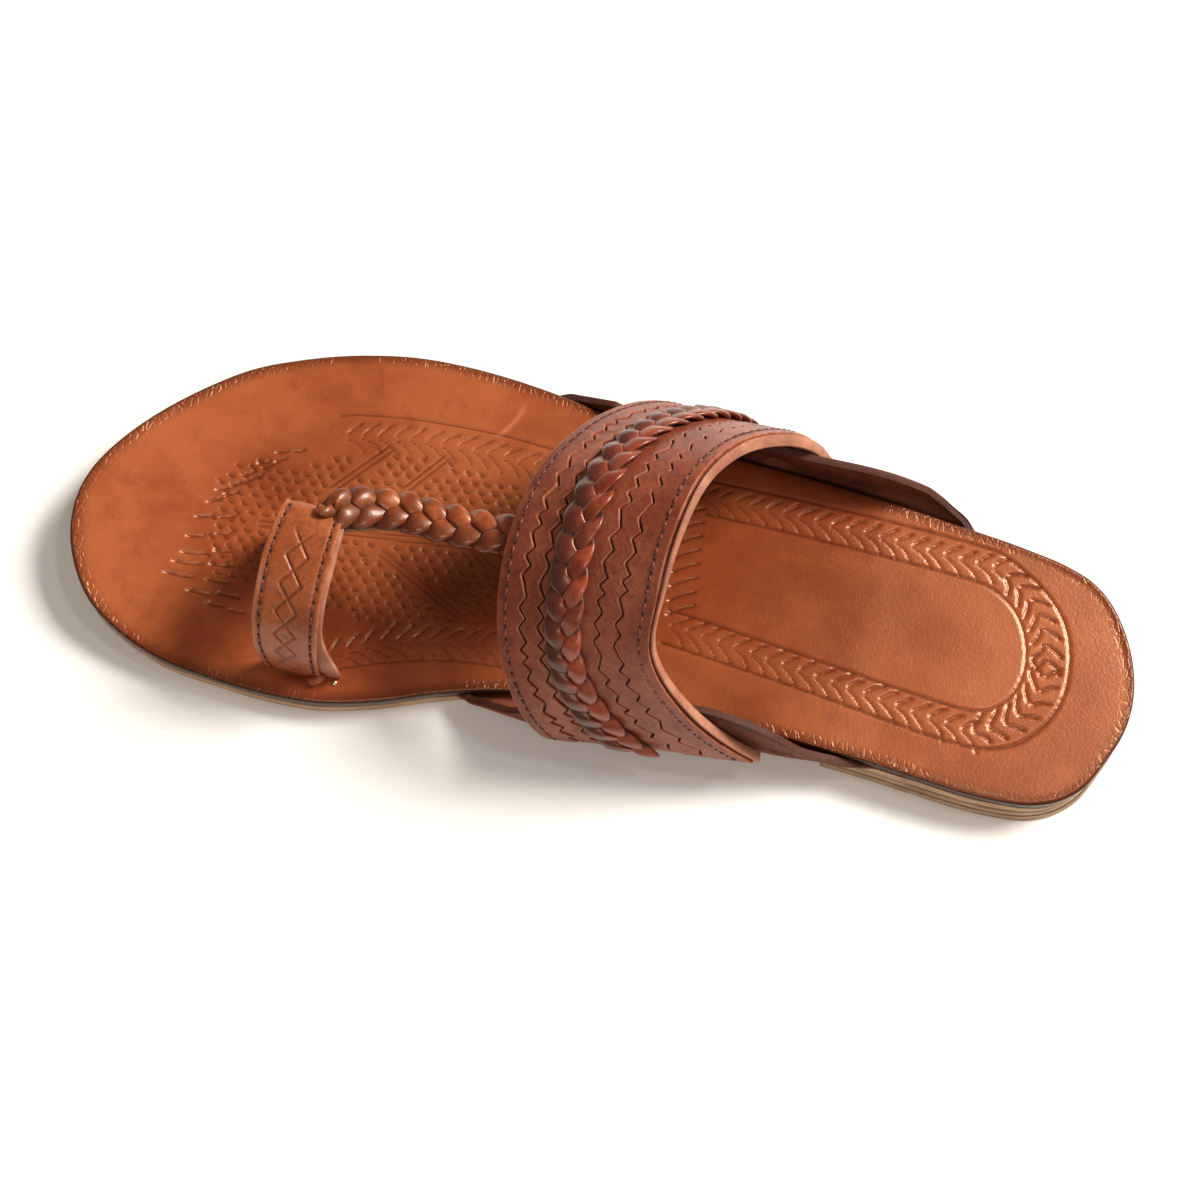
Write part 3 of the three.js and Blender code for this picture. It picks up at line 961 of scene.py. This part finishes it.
def stipple(marks):
    """Crescent dashes that fill the leaf between its borders and veins."""
    cx, cy = leaf["centre"]
    for row in range(-14, 15):
        for column in range(-24, 25):
            stagger = dash_pitch / 2 if row % 2 else 0
            forward = column * dash_pitch + stagger + chance.uniform(-0.35, 0.35)
            across = row * dash_rows + chance.uniform(-0.28, 0.28)
            outward = math.hypot(forward / leaf["long"], across / leaf["wide"])
            if outward > mix(0.72, 0.9, ramp(30, 44, forward)) or forward > 50:
                continue
            x = cx + forward - across * leaf["slope"]
            y = cy + across + forward * leaf["slope"]
            if clear_of_veins(x, y):
                tilt = math.radians(30 + chance.uniform(-12, 12))
                dx, dy = math.cos(tilt) * dash_half_length, -math.sin(tilt) * dash_half_length
                marks.bowed((x - dx, y - dy), (x + dx, y + dy), 0.14, *dash_tool)


def clear_of_veins(x, y):
    return all(
        beside(x, y, start, end)[1] >= vein_clearance
        for path in leaf_veins for start, end in zip(path[:-1], path[1:])
    )


# --- soles


def slab(lengths, widths_count, levels):
    """Flat blank with its wall pulled down in steps and its bottom closed."""
    bm = flat_blank(lengths, widths_count)
    rim = [e for e in bm.edges if e.is_boundary]
    for _ in range(levels):
        made = bmesh.ops.extrude_edge_only(bm, edges=rim)["geom"]
        below = [g for g in made if isinstance(g, bmesh.types.BMVert)]
        bmesh.ops.translate(bm, verts=below, vec=(0, 0, -1))
        rim = [g for g in made if isinstance(g, bmesh.types.BMEdge)]
    sides = [
        e for e in rim
        if abs(e.verts[0].co.y - e.verts[1].co.y) < 1e-6
        and (e.verts[0].co.y < 1e-6 or e.verts[0].co.y > 1 - 1e-6)
    ]
    bmesh.ops.bridge_loops(bm, edges=sides)
    return bm


def even_reach(u):
    """Stations spaced evenly along the sole and closer at its round ends."""
    end_run, end_rows = 12.0, 0.06
    turn = np.linspace(0, math.pi / 2, 13)
    ends = end_run * (1 - np.cos(turn))
    share = np.concatenate([np.linspace(0, end_rows, 13), np.linspace(1 - end_rows, 1, 13)])
    x = np.concatenate([HEEL_END + ends, TOE_END - ends[::-1]])
    return (np.interp(u, share, x) - sole_centre) / sole_half


def rim_distance(x, y):
    """How far each place lies inside the sole's edge."""
    reach = even_reach(np.linspace(0, 1, 420))
    loop = [points(*sole_place(reach, side, 0.0), 0)[:, :2] for side in (-1, 1)]
    loop = np.concatenate(loop)
    nearest = np.full(len(x), 1e9)
    for start in range(0, len(loop), 60):
        part = loop[start:start + 60]
        gap = np.hypot(x[:, None] - part[None, :, 0], y[:, None] - part[None, :, 1])
        nearest = np.minimum(nearest, gap.min(axis=1))
    return nearest


# how each wall steps down from its upper edge: the inset at each step, then
# the drop from the top in the insole and the share of the height in the rest
insole_wall = (0.9, 0.26, 0.0, 0.0, 0.3), (0.0, 0.26, 0.9, 2.9, insole_thickness)
outsole_wall = (0.35, 0.0, 0.12, 0.1, 0.0, 0.5), (1.0, 0.93, 0.6, 0.4, 0.12, 0.0)
lift_wall = (0.2, 0.0, 0.45, 0.75, 0.65, 1.4, 0.9), (1.0, 0.94, 0.56, 0.52, 0.47, 0.1, 0.0)

# depth or darkness, middle, reach; of the darker patches, the first is painted shade, the shadow
# of the band and instep strap on the forefoot, the second a darker spot by the toe, the third a
# darker heel seat, partly wear and partly painted shade
hollows = ((0.5, (-85, -4), (34, 20)), (0.6, (60, 2), (36, 30)))
darker_patches = ((0.78, (38, 14), (25, 23)), (0.3, (92, -9), (12, 9)), (0.46, (-52, -4), (50, 40)))
loop_slots = ((82.2, 6.4), 3.4), ((72.0, 43.0), 3.0)
slot_depth, slot_shade_tone = 0.9, 0.8
scratch_at, scratch_end, scratch_half_width = 33.2, -44, 0.75


def wall_at(level, *columns):
    """A wall's measures at any level between its steps."""
    return (np.interp(level, range(len(column)), column) for column in columns)


def patch(x, y, middle, reach):
    """1 at the middle of an oval patch, fading within its reach."""
    return np.exp(-(((x - middle[0]) / reach[0]) ** 2 + ((y - middle[1]) / reach[1]) ** 2))


def place_insole(flat):
    u, v, level = (flat * (1, 1, -1)).T
    inset, drop = wall_at(level, *insole_wall)
    x, y = sole_place(even_reach(u), 2 * v - 1, inset)
    top = level < 0.5
    away = rim_distance(x, y)
    marks = press_insole(x[top], y[top])
    depth, tone = np.zeros(len(x)), np.zeros(len(x))
    depth[top], tone[top] = marks.depth, marks.tone
    fade = ramp(0.8, 2.5, away)
    heights = insole_top(x) - drop
    uneven = ripple(x, y, seed=4, size=11) * 0.14 + ripple(x, y, seed=5, size=4) * 0.05
    for deep, middle, reach in hollows:
        uneven = uneven - deep * patch(x, y, middle, reach)
    heights = heights + np.where(top, (uneven - depth) * fade, 0)
    # painted shade: darker round the toe-loop slots, carried with the tool marks
    for middle, reach in loop_slots:
        near = np.where(top, patch(x, y, middle, (reach * 1.7, reach)), 0)
        heights = heights - near * slot_depth
        tone = np.maximum(tone, near * slot_shade_tone)
    rim = 1 - ramp(0.4, 5.5, away) ** 0.7 + ripple(x, y, seed=6, size=5) * 0.07
    rim = np.where(level > 0.5, 1.0, np.clip(rim, 0, 1) * 0.8)
    rim = np.where(level > 3.4, 0.4, rim)
    scratch = (x - scratch_at - 0.035 * (y - scratch_end) ** 2) / scratch_half_width
    scuff = np.exp(-scratch**2) * ramp(-45, -41, y) * ramp(-30, -35, y)
    scuff *= 0.75 + ripple(x, y, seed=17, size=2) * 0.25
    # painted shade: darker towards the heel end and in the darker patches
    shade = ramp(-60, -105, x) * 0.12
    for dark, middle, reach in darker_patches:
        shade = shade + dark * patch(x, y, middle, reach)
    shade = np.clip(shade + ripple(x, y, seed=14, size=12) * 0.05, 0, 1)
    return points(x, y, heights), {
        "tool_marks_and_slot_shade": tone * fade, "rim": rim, "scuff": np.clip(scuff, 0, 1), "shade": shade,
    }


def make_insole(finish):
    bm = shape(slab(lengths=500, widths_count=166, levels=4), place_insole)
    piece("insole_tooled", bm, finish, ["insole"])


def place_outsole(flat):
    u, v, level = (flat * (1, 1, -1)).T
    inset, share = wall_at(level, *outsole_wall)
    x, y = sole_place(even_reach(u), 2 * v - 1, inset)
    wall = (level > 0.5) & (level < 4.5)
    wave = ripple(x, y, seed=8, size=3) * 0.12
    y = y + np.where(wall, wave, 0)
    heights = underside(x) + outsole_thickness * share
    return points(x, y, heights), {"level": share}


def make_outsole(finish):
    bm = shape(slab(lengths=260, widths_count=24, levels=5), place_outsole)
    piece("outsole_edge_cut", bm, finish, ["outsole"])


def place_heel(flat):
    u, v, level = (flat * (1, 1, -1)).T
    front = (lift_front - sole_centre) / sole_half
    turn = np.radians(90) * u
    reach = mix(-1, front, 1 - np.cos(turn))
    grow, share = wall_at(level, *lift_wall)
    x, y = sole_place(reach, 2 * v - 1, -grow)
    hollow = lift_hollow * (1 - (2 * v - 1) ** 2) * ramp(0.8, 1, u)
    x = np.minimum(x, lift_front) - hollow
    return points(x, y, lift_height * share), {"level": share}


def make_heel(finish):
    bm = shape(slab(lengths=90, widths_count=24, levels=6), place_heel)
    piece("heel_lifts", bm, finish, ["heel_lift"])


# --- band


def teeth(share, count, seed):
    """Pinked edge: -1 to 1 saw teeth, a little uneven as cut by hand."""
    phase = (share * count + 0.2 * np.sin(share * 31 + seed) + 0.1 * np.sin(share * 83 + seed)) % 1
    saw = np.where(phase < 0.58, phase / 0.58, (1 - phase) / 0.42)
    return 2 * saw - 1


band_strips = {
    "rear": {"span": (0.012, 0.2085), "top": 0.35, "teeth": (0, 1)},
    "rear_inner": {"span": (0.2215, 0.3415), "top": 0.1, "teeth": (1, 1)},
    "under_plait": {"span": (0.3555, 0.50), "top": -0.1, "teeth": (1, 0)},
    "valley": {"span": (0.62, 0.7055), "top": -0.15, "teeth": (0, 1)},
    "front_inner": {"span": (0.7205, 0.8215), "top": 0.1, "teeth": (1, 1)},
    "front": {"span": (0.8365, 0.99), "top": 0.35, "teeth": (1, 0)},
}
# how deep each layer of the band lies under its face, inner side first
lining_layer, body_layer = (-3.1, -1.9), (-1.9, -0.8)
tooth_pitch = 5.4
tooth_height = 0.95
strip_crown = 0.22
band_margin, lining_margin = 0.004, 0.022


def place_strip(strip, seed):
    count = band_length / tooth_pitch

    def place(flat):
        share, v, wall = flat.T
        low, high = strip["span"]
        rear_teeth, front_teeth = strip["teeth"]
        reach = tooth_height / band_width
        wave = ripple(share * 60, v * 0, seed=3, size=3) * 0.002
        rear = low + rear_teeth * reach * teeth(share, count, seed) + wave
        front = high + front_teeth * reach * teeth(share, count, seed + 1) + wave
        crown = strip_crown * (1 - (2 * v - 1) ** 4)
        offset = mix(body_layer[1], strip["top"], wall) + wall * (crown - strip_crown)
        offset = offset + wall * ripple(share * band_length, v * 30, seed + 9, size=6) * 0.08
        across = (front - rear) * band_width
        near = np.minimum(v, 1 - v) * across
        edge = ramp(0.75, 0.1, near)
        offset = offset + wall * 0.16 * ramp(1.2, 0.3, near)
        return band_place(share, mix(rear, front, v), offset), {"edge": edge}

    return place


def make_band_strips(finish):
    for index, (name, strip) in enumerate(band_strips.items()):
        bm = shape(thick_blank(lengths=330, widths_count=18), place_strip(strip, index))
        piece(f"band_strip_{name}", bm, finish, edge_round=0.18)


def make_band_body(finish, lining):
    def place_body(flat):
        share, v, wall = flat.T
        body = band_place(share, within(band_margin, v), mix(*body_layer, wall))
        return body, {"edge": both_edges(v, 0.03)}

    def place_lining(flat):
        share, v, wall = flat.T
        lateral = ramp(0.72, 0.96, share) * 0.035
        uneven = ripple(share * band_length, v * 0, seed=21, size=5) * 0.004
        rear = -lining_margin - lateral + uneven
        rim = ramp(0.024, 0.018, v) * wall * (1.75 - 0.25 * ramp(0.72, 0.9, share))
        offset = mix(*lining_layer, wall) + rim
        return band_place(share, mix(rear, 1.008, v), offset), {}

    bm = shape(thick_blank(lengths=200, widths_count=24), place_body)
    piece("band_body", bm, finish, ["upper"], edge_round=0.25)
    bm = shape(thick_blank(lengths=200, widths_count=60), place_lining)
    piece("band_lining", bm, lining, edge_round=0.4)


# --- plaits


def strand_place(surface, length, plait, turn, widths_of):
    """Lays one strand of a three-strand plait over a surface.

    plait gives the strip's width and thickness, how far it swings to each
    side and rises, and the length of one full turn at each end.
    """
    def phase_at(p):
        first, last = plait["turn_length"]
        # the turn length changes steadily from one end to the other
        if abs(last - first) < 1e-6:
            return math.tau * p / first
        rate = (last - first) / length
        return math.tau * np.log((first + rate * p) / first) / rate

    def centre(p):
        phase = phase_at(p) + turn
        fade = widths_of(p / length)
        return points(
            p,
            plait["swing"] * fade * np.sin(phase),
            plait["rise"] * np.sin(2 * phase - plait_lag),
        )

    def place(flat):
        p = flat[:, 2] * length
        angle = np.arctan2(flat[:, 1], flat[:, 0])
        fill = np.minimum(np.hypot(flat[:, 0], flat[:, 1]), 1)
        here = centre(p)
        run = unit(centre(p + 0.15) - centre(p - 0.15))
        across = unit(np.cross(points(0, 0, 1), run))
        up = np.cross(run, across)
        cosine, sine = np.cos(angle), np.sin(angle)
        wide = np.sign(cosine) * np.abs(cosine) ** 0.75 * plait["width"] / 2
        thick = np.sign(sine) * np.abs(sine) ** 0.8 * plait["thickness"] / 2
        fade = widths_of(p / length)
        at = here + across * (wide * fill * fade)[:, None] + up * (thick * fill)[:, None]
        u = np.clip(at[:, 0] / length, 0, 1)
        climb = plait["end_climb"] * ramp(0.72, 0.93, u)
        spot = surface(u, at[:, 1], at[:, 2] + plait["lift"] + climb)
        # painted shade: darker where a strand dips under, and towards the toe loop on the instep
        # plait
        low = (1 - np.sin(2 * (phase_at(p) + turn) - plait_lag)) / 2
        ring_end_shade = 0.2 * plait["end_climb"] * ramp(0.58, 0.82, u)
        return spot, {
            "tuck_shade": ramp(0.3, 0.95, low) + ring_end_shade, "edge": np.abs(cosine) ** 3,
            # painted shade on the band plait's front side and the instep plait's big-toe side
            "front": ramp(-0.8, 1.8, at[:, 1] + 0.5 * fill * cosine),
        }

    return place


def make_plait(name, surface, length, plait, rings, finishes, replaces, widths_of):
    for index, finish in enumerate(finishes):
        place = strand_place(surface, length, plait, index * math.tau / 3, widths_of)
        bm = shape(rod_blank(rings, strand_sides), place)
        piece(f"{name}_{index + 1}", bm, finish, replaces if index == 0 else ())


strand_sides = 14
plait_lag = math.radians(26)
plait_row = 0.555
instep_plait_length = 64.0
band_plait = {
    "width": 4.7, "thickness": 1.25, "swing": 2.8, "rise": 0.7, "lift": 0.78,
    "turn_length": (20.5, 20.5), "end_climb": 0.0,
}
instep_plait = {
    "width": 5.3, "thickness": 2.3, "swing": 3.0, "rise": 1.1, "lift": -1.35,
    "turn_length": (23.0, 16.5), "end_climb": 2.3,
}


def band_plait_surface(u, across, height):
    share = within(band_margin, u)
    return band_place(share, plait_row + across / band_width, height)


def instep_plait_surface(u, across, height):
    at = mix(instep_strap["at"][0], instep_strap["at"][-1], u)
    half = along(instep_strap, "at", "half_width", at)
    v = 0.5 + across / (2 * half)
    return on_surface(instep_strap_face, u, v, height)


def make_plaits(warm, cool, glossy):
    def steady(t):
        return np.ones_like(t)

    def pointed(t):
        return mix(1.0, 0.25, ramp(0.9, 1.0, t))

    make_plait("band_plait_strand", band_plait_surface, band_length, band_plait, 560,
               (warm, cool, warm), ["instep_plait"], steady)
    make_plait("instep_plait_strand", instep_plait_surface, instep_plait_length, instep_plait,
               240, (glossy, glossy, glossy), (), pointed)


backing_layer, backing_margin = (-4.3, -3.3), 0.04


def make_backing_strap(finish):
    def place(flat):
        u, v, wall = flat.T
        drift = ramp(0.35, 0.9, u) * 0.14
        offset = mix(*backing_layer, wall) + ripple(u * 60, v * 8, seed=31, size=6) * 0.12
        strap = on_surface(instep_strap_face, u, within(backing_margin, v) + drift, offset)
        return strap, {"edge": both_edges(v, 0.2)}

    bm = shape(thick_blank(lengths=60, widths_count=8), place)
    piece("instep_backing", bm, finish, edge_round=0.2)


# --- toe loop


def place_toe_loop(flat):
    u, v, wall = (flat * (toe_loop_cut, 1, 1)).T
    run = loop_walk(u)
    across = (v - 0.5) * 2
    diamonds = diamond_line(run, (v - 0.5) * toe_loop_width)
    furrow = np.exp(-(((np.abs(across) - 0.8) / 0.07) ** 2))
    offset = mix(*loop_layer, wall) - wall * (0.42 * diamonds + 0.22 * furrow)
    offset = offset + wall * ripple(run, v * 16, seed=41, size=5) * 0.07
    tone = wall * np.maximum(diamonds * 0.9, furrow * 0.5)
    return on_surface(toe_loop_face, u, v, offset), {
        "edge": both_edges(v, 0.1), "tool_marks_and_slot_shade": tone,
    }


def loop_walk(u):
    """Length walked round the toe loop."""
    fine = np.linspace(0, 1, 241)
    return np.interp(u, fine, walked(toe_loop_face(fine, 0.5)))


def diamond_line(run, across):
    """Chain of diamonds incised along the middle of the loop."""
    pitch, half_wide, start, cut_half_width = 7.0, 2.6, 5, 0.42
    phase = ((run - start) / pitch) % 1
    arm = half_wide * (1 - np.abs(2 * phase - 1))
    near = np.minimum(np.abs(across - arm), np.abs(across + arm))
    shown = ramp(3, 6, run) * ramp(52, 48, run)
    return np.clip(1.25 - near / cut_half_width, 0, 1) * shown


def make_toe_loop(finish, lining):
    def place_lining(flat):
        u, v, wall = flat.T
        base = ramp(0.27, 0.02, u)
        rear = -0.05 - 0.30 * base + ripple(u * 90, v * 0, seed=61, size=4) * 0.012
        offset = mix(*loop_lining_layer, wall)
        return on_surface(toe_loop_face, u, mix(rear, 1.03, v), offset), {}

    bm = shape(thick_blank(lengths=190, widths_count=56), place_toe_loop)
    piece("toe_loop_top", bm, finish, edge_round=0.2)
    bm = shape(thick_blank(lengths=90, widths_count=14), place_lining)
    piece("toe_loop_lining", bm, lining, edge_round=0.25)


def bent_rod(path, radii, rings, sides, seed, roughness):
    """A closed rod laid along a short path, its radius changing on the way."""
    path, radii = np.asarray(path, float), np.asarray(radii, float)
    shares = np.linspace(0, 1, len(path))

    def centre(t):
        t = np.clip(t, 0, 1)
        return np.stack([np.interp(t, shares, path[:, k]) for k in range(3)], axis=-1)

    def place(flat):
        t = flat[:, 2]
        run = unit(centre(t + 0.06) - centre(t - 0.06))
        side = unit(np.cross(run, np.array((0.25, 0.1, 1.0))))
        up = np.cross(side, run)
        knobs = ripple(flat[:, 0] * 3, flat[:, 1] * 3 + t * 9, seed, size=0.9)
        radius = np.interp(t, shares, radii) * (1 + roughness * knobs)
        beside_path = side * (flat[:, 0] * radius)[:, None]
        return centre(t) + beside_path + up * (flat[:, 1] * radius)[:, None], {}

    return shape(rod_blank(rings, sides), place)


tack_place, tack_radius = (61.4, 43.6, 7.7), 0.75


def make_loop_details(lining, strand, hole_shade, metal):
    curl = bent_rod(
        ((67.4, 44.4, 8.0), (66.4, 44.7, 8.9), (65.4, 44.3, 9.5), (64.8, 43.4, 9.2),
         (65.0, 42.6, 8.6), (65.9, 42.5, 8.2), (66.5, 43.1, 8.4)),
        (1.2, 1.35, 1.3, 1.2, 1.1, 1.0, 0.6), rings=30, sides=12, seed=71, roughness=0.22)
    piece("loop_lining_curl", curl, strand, soften=1)
    bit = bent_rod(
        ((80.5, 8.5, 8.4), (83.4, 10.4, 9.1), (86.4, 11.6, 8.6), (89.5, 11.4, 7.9)),
        (1.1, 1.5, 1.1, 0.25), rings=16, sides=10, seed=72, roughness=0.1)
    piece("toe_slot_point", bit, lining, soften=1)
    # near-black rod: painted shade in the slit where the toe loop's outer leg enters the insole
    slot_shade = bent_rod(
        ((76.6, 4.6, 7.6), (80.4, 4.3, 7.55), (84.4, 4.8, 7.6), (87.2, 6.4, 7.6)),
        (0.3, 0.75, 0.8, 0.25), rings=14, sides=8, seed=73, roughness=0.05)
    piece("toe_slot_shade", slot_shade, hole_shade)
    tack = bmesh.new()
    bmesh.ops.create_uvsphere(tack, u_segments=20, v_segments=12, radius=tack_radius * mm)
    bmesh.ops.scale(tack, vec=(1, 1, 0.6), verts=tack.verts[:])
    bmesh.ops.translate(tack, vec=Vector(tack_place) * mm, verts=tack.verts[:])
    piece("loop_tack", tack, metal)


# --- ears


def make_ear(name, finish):
    ear = ears[name]

    def place(flat):
        u, v, wall = flat.T
        spread = mix(v, v**0.85, 0.5)

        def surface(a, b):
            return ear_face(ear, a, np.clip(b, 0, 1))

        rough = ripple(u * 95, spread * 0, ear["rim_seed"], size=2.6)
        at = surface(u, spread)
        grain = ripple(u * 95, spread * 26, seed=53, size=4.5) * ear["grain_depth"]
        offset = mix(-ear_thickness / 2, ear_thickness / 2, wall) + grain * ramp(0.5, 0.8, spread)
        at = at + facing(surface, u, np.minimum(spread, 0.995)) * offset[:, None]
        at[:, 2] += (rough * 0.55 - 0.2) * ramp(0.8, 1.0, spread)
        return at, {"edge": ramp(0.82, 1.0, spread)}

    bm = shape(thick_blank(lengths=150, widths_count=34), place)
    piece(f"ear_{name}_flap", bm, finish, [f"ear_{name}"], edge_round=0.3)


# --- stitching


def stitch_row(place, runs, length, width, height):
    """Short waxed threads laid end to end; place gives a point and directions."""
    rows = bmesh.new()
    for run in runs:
        centre, forward, outward = place(run)
        side = np.cross(outward, forward)
        one = bmesh.new()
        bmesh.ops.create_icosphere(one, subdivisions=1, radius=1)
        axes = forward * length, side * width, outward * height
        turn = Matrix([tuple(axis / 2 * mm) for axis in axes]).transposed().to_4x4()
        turn.translation = Vector(centre * mm)
        bmesh.ops.transform(one, matrix=turn, verts=one.verts[:])
        join_into(rows, one)
    return rows


stitch_pitch = 3.3
band_seams = {"rear": 0.075, "front": 0.935}
toe_seams = {"rear": 0.1, "front": 0.9}
toe_seam_start, toe_seam_ends = 4, 6


def seam_place(surface, turn, v, offset):
    """Where a thread lies along a seam, with its forward and outward directions."""
    def place(share):
        u, row = turn(np.array([share, share + 0.004])), np.array([v, v])
        here, ahead = on_surface(surface, u, row, np.array([offset, offset]))
        forward = unit(ahead - here)
        outward = facing(surface, u, row)[0]
        return here, forward, unit(outward - forward * outward.dot(forward))
    return place


def sew(strap, seams, surface, turn, *rows):
    """Threads along each edge of a strap, with near-black bits of painted shade between them
    standing for the awl piercings.
    """
    for edge, v in seams.items():
        for kind, finish, shares, offset, size in rows:
            bm = stitch_row(seam_place(surface, turn, v, offset), shares, *size)
            piece(f"{strap}_{kind}_{edge}", bm, finish)


def make_stitching(thread, hole_shade):
    count = int(band_length / stitch_pitch)
    shares = [(index + 0.5) / count for index in range(count)]
    between = [share + 0.5 / count for share in shares[:-1]]
    # near-black ellipsoids between the threads are painted shade for the awl piercings
    sew("band", band_seams, band_face, band_turn,
        ("stitch", thread, shares, 0.36, (2.3, 0.85, 0.7)),
        ("hole_shades", hole_shade, between, 0.3, (1.15, 0.95, 0.34)))
    turns = np.linspace(0, toe_loop_cut, 200)
    run = loop_walk(turns)
    steps = np.arange(int((run[-1] - toe_seam_ends) / stitch_pitch) + 1)
    threads = np.interp(toe_seam_start + (steps[:-1] + 0.5) * stitch_pitch, run, turns)
    hole_shades = np.interp(toe_seam_start + steps * stitch_pitch, run, turns)
    # the same painted shade for the toe loop's awl piercings
    sew("toe", toe_seams, toe_loop_face, np.asarray,
        ("stitch", thread, threads, -0.1, (2.2, 0.7, 0.55)),
        ("hole_shades", hole_shade, hole_shades, -0.1, (1.15, 0.85, 0.36)))


# --- studio, camera


def make_floor(finish):
    bm = bmesh.new()
    bmesh.ops.create_grid(bm, x_segments=1, y_segments=1, size=4)
    bmesh.ops.translate(bm, verts=bm.verts[:], vec=(0, 0, -0.00005))
    mesh = bpy.data.meshes.new("floor")
    bm.to_mesh(mesh)
    bm.free()
    mesh.materials.append(finish)
    floor = bpy.data.objects.new("floor", mesh)
    bpy.context.scene.collection.objects.link(floor)


room_tint, room_strength = (1.0, 0.85, 0.72), 0.19
lamps = {
    "window": {"place": (-1.0, -0.82, 1.24), "aim": (0, 0, 0), "size": (0.72, 0.54),
               "power": 50.0, "tint": (1.0, 0.955, 0.89)},
    "overhead": {"place": (-0.1, 0.7, 0.85), "aim": (0, 0, 0), "size": (0.6, 0.4),
                 "power": 3.2, "tint": (1.0, 0.94, 0.88)},
    "glint": {"place": (-0.42, -0.17, 1.1), "aim": (-0.12, 0.03, 0), "size": (0.14, 0.1),
              "power": 1.1, "tint": (1.0, 0.96, 0.92)},
}


def make_light(name, place, aim, size, power, tint):
    light = bpy.data.lights.new(name, "AREA")
    light.shape = "RECTANGLE"
    light.size, light.size_y = size
    light.energy = power
    light.color = tint
    lamp = bpy.data.objects.new(name, light)
    lamp.location = place
    lamp.rotation_euler = (Vector(aim) - Vector(place)).to_track_quat("-Z", "Y").to_euler()
    bpy.context.scene.collection.objects.link(lamp)


def light_studio():
    world = bpy.data.worlds.new("studio")
    world.use_nodes = True
    background = world.node_tree.nodes["Background"]
    background.inputs["Color"].default_value = (*room_tint, 1)
    background.inputs["Strength"].default_value = room_strength
    bpy.context.scene.world = world
    for name, lamp in lamps.items():
        make_light(name, **lamp)


def make_camera():
    data = bpy.data.cameras.new("camera")
    data.sensor_width = 36
    data.lens = 52.0
    data.clip_start, data.clip_end = 0.01, 20
    camera = bpy.data.objects.new("camera", data)
    place = Vector((-0.0134, 0.1548, 0.427))
    aim = Vector((0.0015, 0.0065, 0.008))
    level_right = Vector((-0.97, -0.244, -0.022))
    forward = (aim - place).normalized()
    right = (level_right - forward * level_right.dot(forward)).normalized()
    up = right.cross(forward)
    turn = Matrix((right, up, -forward)).transposed().to_4x4()
    turn.translation = place
    camera.matrix_world = turn
    bpy.context.scene.collection.objects.link(camera)
    bpy.context.scene.camera = camera
    bpy.context.scene.view_settings.view_transform = "Standard"


# --- assembly


def main():
    make_camera()
    light_studio()
    make_floor(floor_finish())
    # each strap finish ends with its pale-edge colour, partly a painted highlight
    brown = strap_finish(
        "band_leather", (74, 29, 19), (124, 57, 37), (152, 80, 55), (186, 112, 78)
    )
    under = strap_finish("band_under", (36, 16, 12), (60, 28, 19), (78, 40, 28), (96, 52, 36), 0.1)
    loop = strap_finish(
        "loop_leather", (92, 40, 20), (146, 72, 35), (172, 92, 50), (188, 116, 80), 0.16
    )
    # each strand finish ends with its painted shade colour for one side of the plait
    warm = strand_finish("strand_red", (46, 15, 10), (122, 48, 29), (156, 72, 45), (74, 34, 32))
    cool = strand_finish("strand_brown", (40, 16, 11), (108, 46, 30), (140, 68, 46), (64, 32, 32))
    glossy = strand_finish(
        "strand_amber", (34, 13, 8), (122, 54, 26), (164, 86, 46), (104, 48, 26)
    )
    # the near-black finish paints the shade inside awl piercings and the toe-loop slit
    lining, ear, hole_shade = lining_finish(), ear_finish(), hole_shade_finish()
    make_insole(insole_finish())
    make_outsole(outsole_finish())
    make_heel(heel_finish())
    make_band_body(under, lining)
    make_band_strips(brown)
    make_plaits(warm, cool, glossy)
    make_backing_strap(brown)
    make_toe_loop(loop, lining)
    make_loop_details(lining, loop, hole_shade, pin_finish())
    for name in ears:
        make_ear(name, ear)
    make_stitching(thread_finish(), hole_shade)


main()
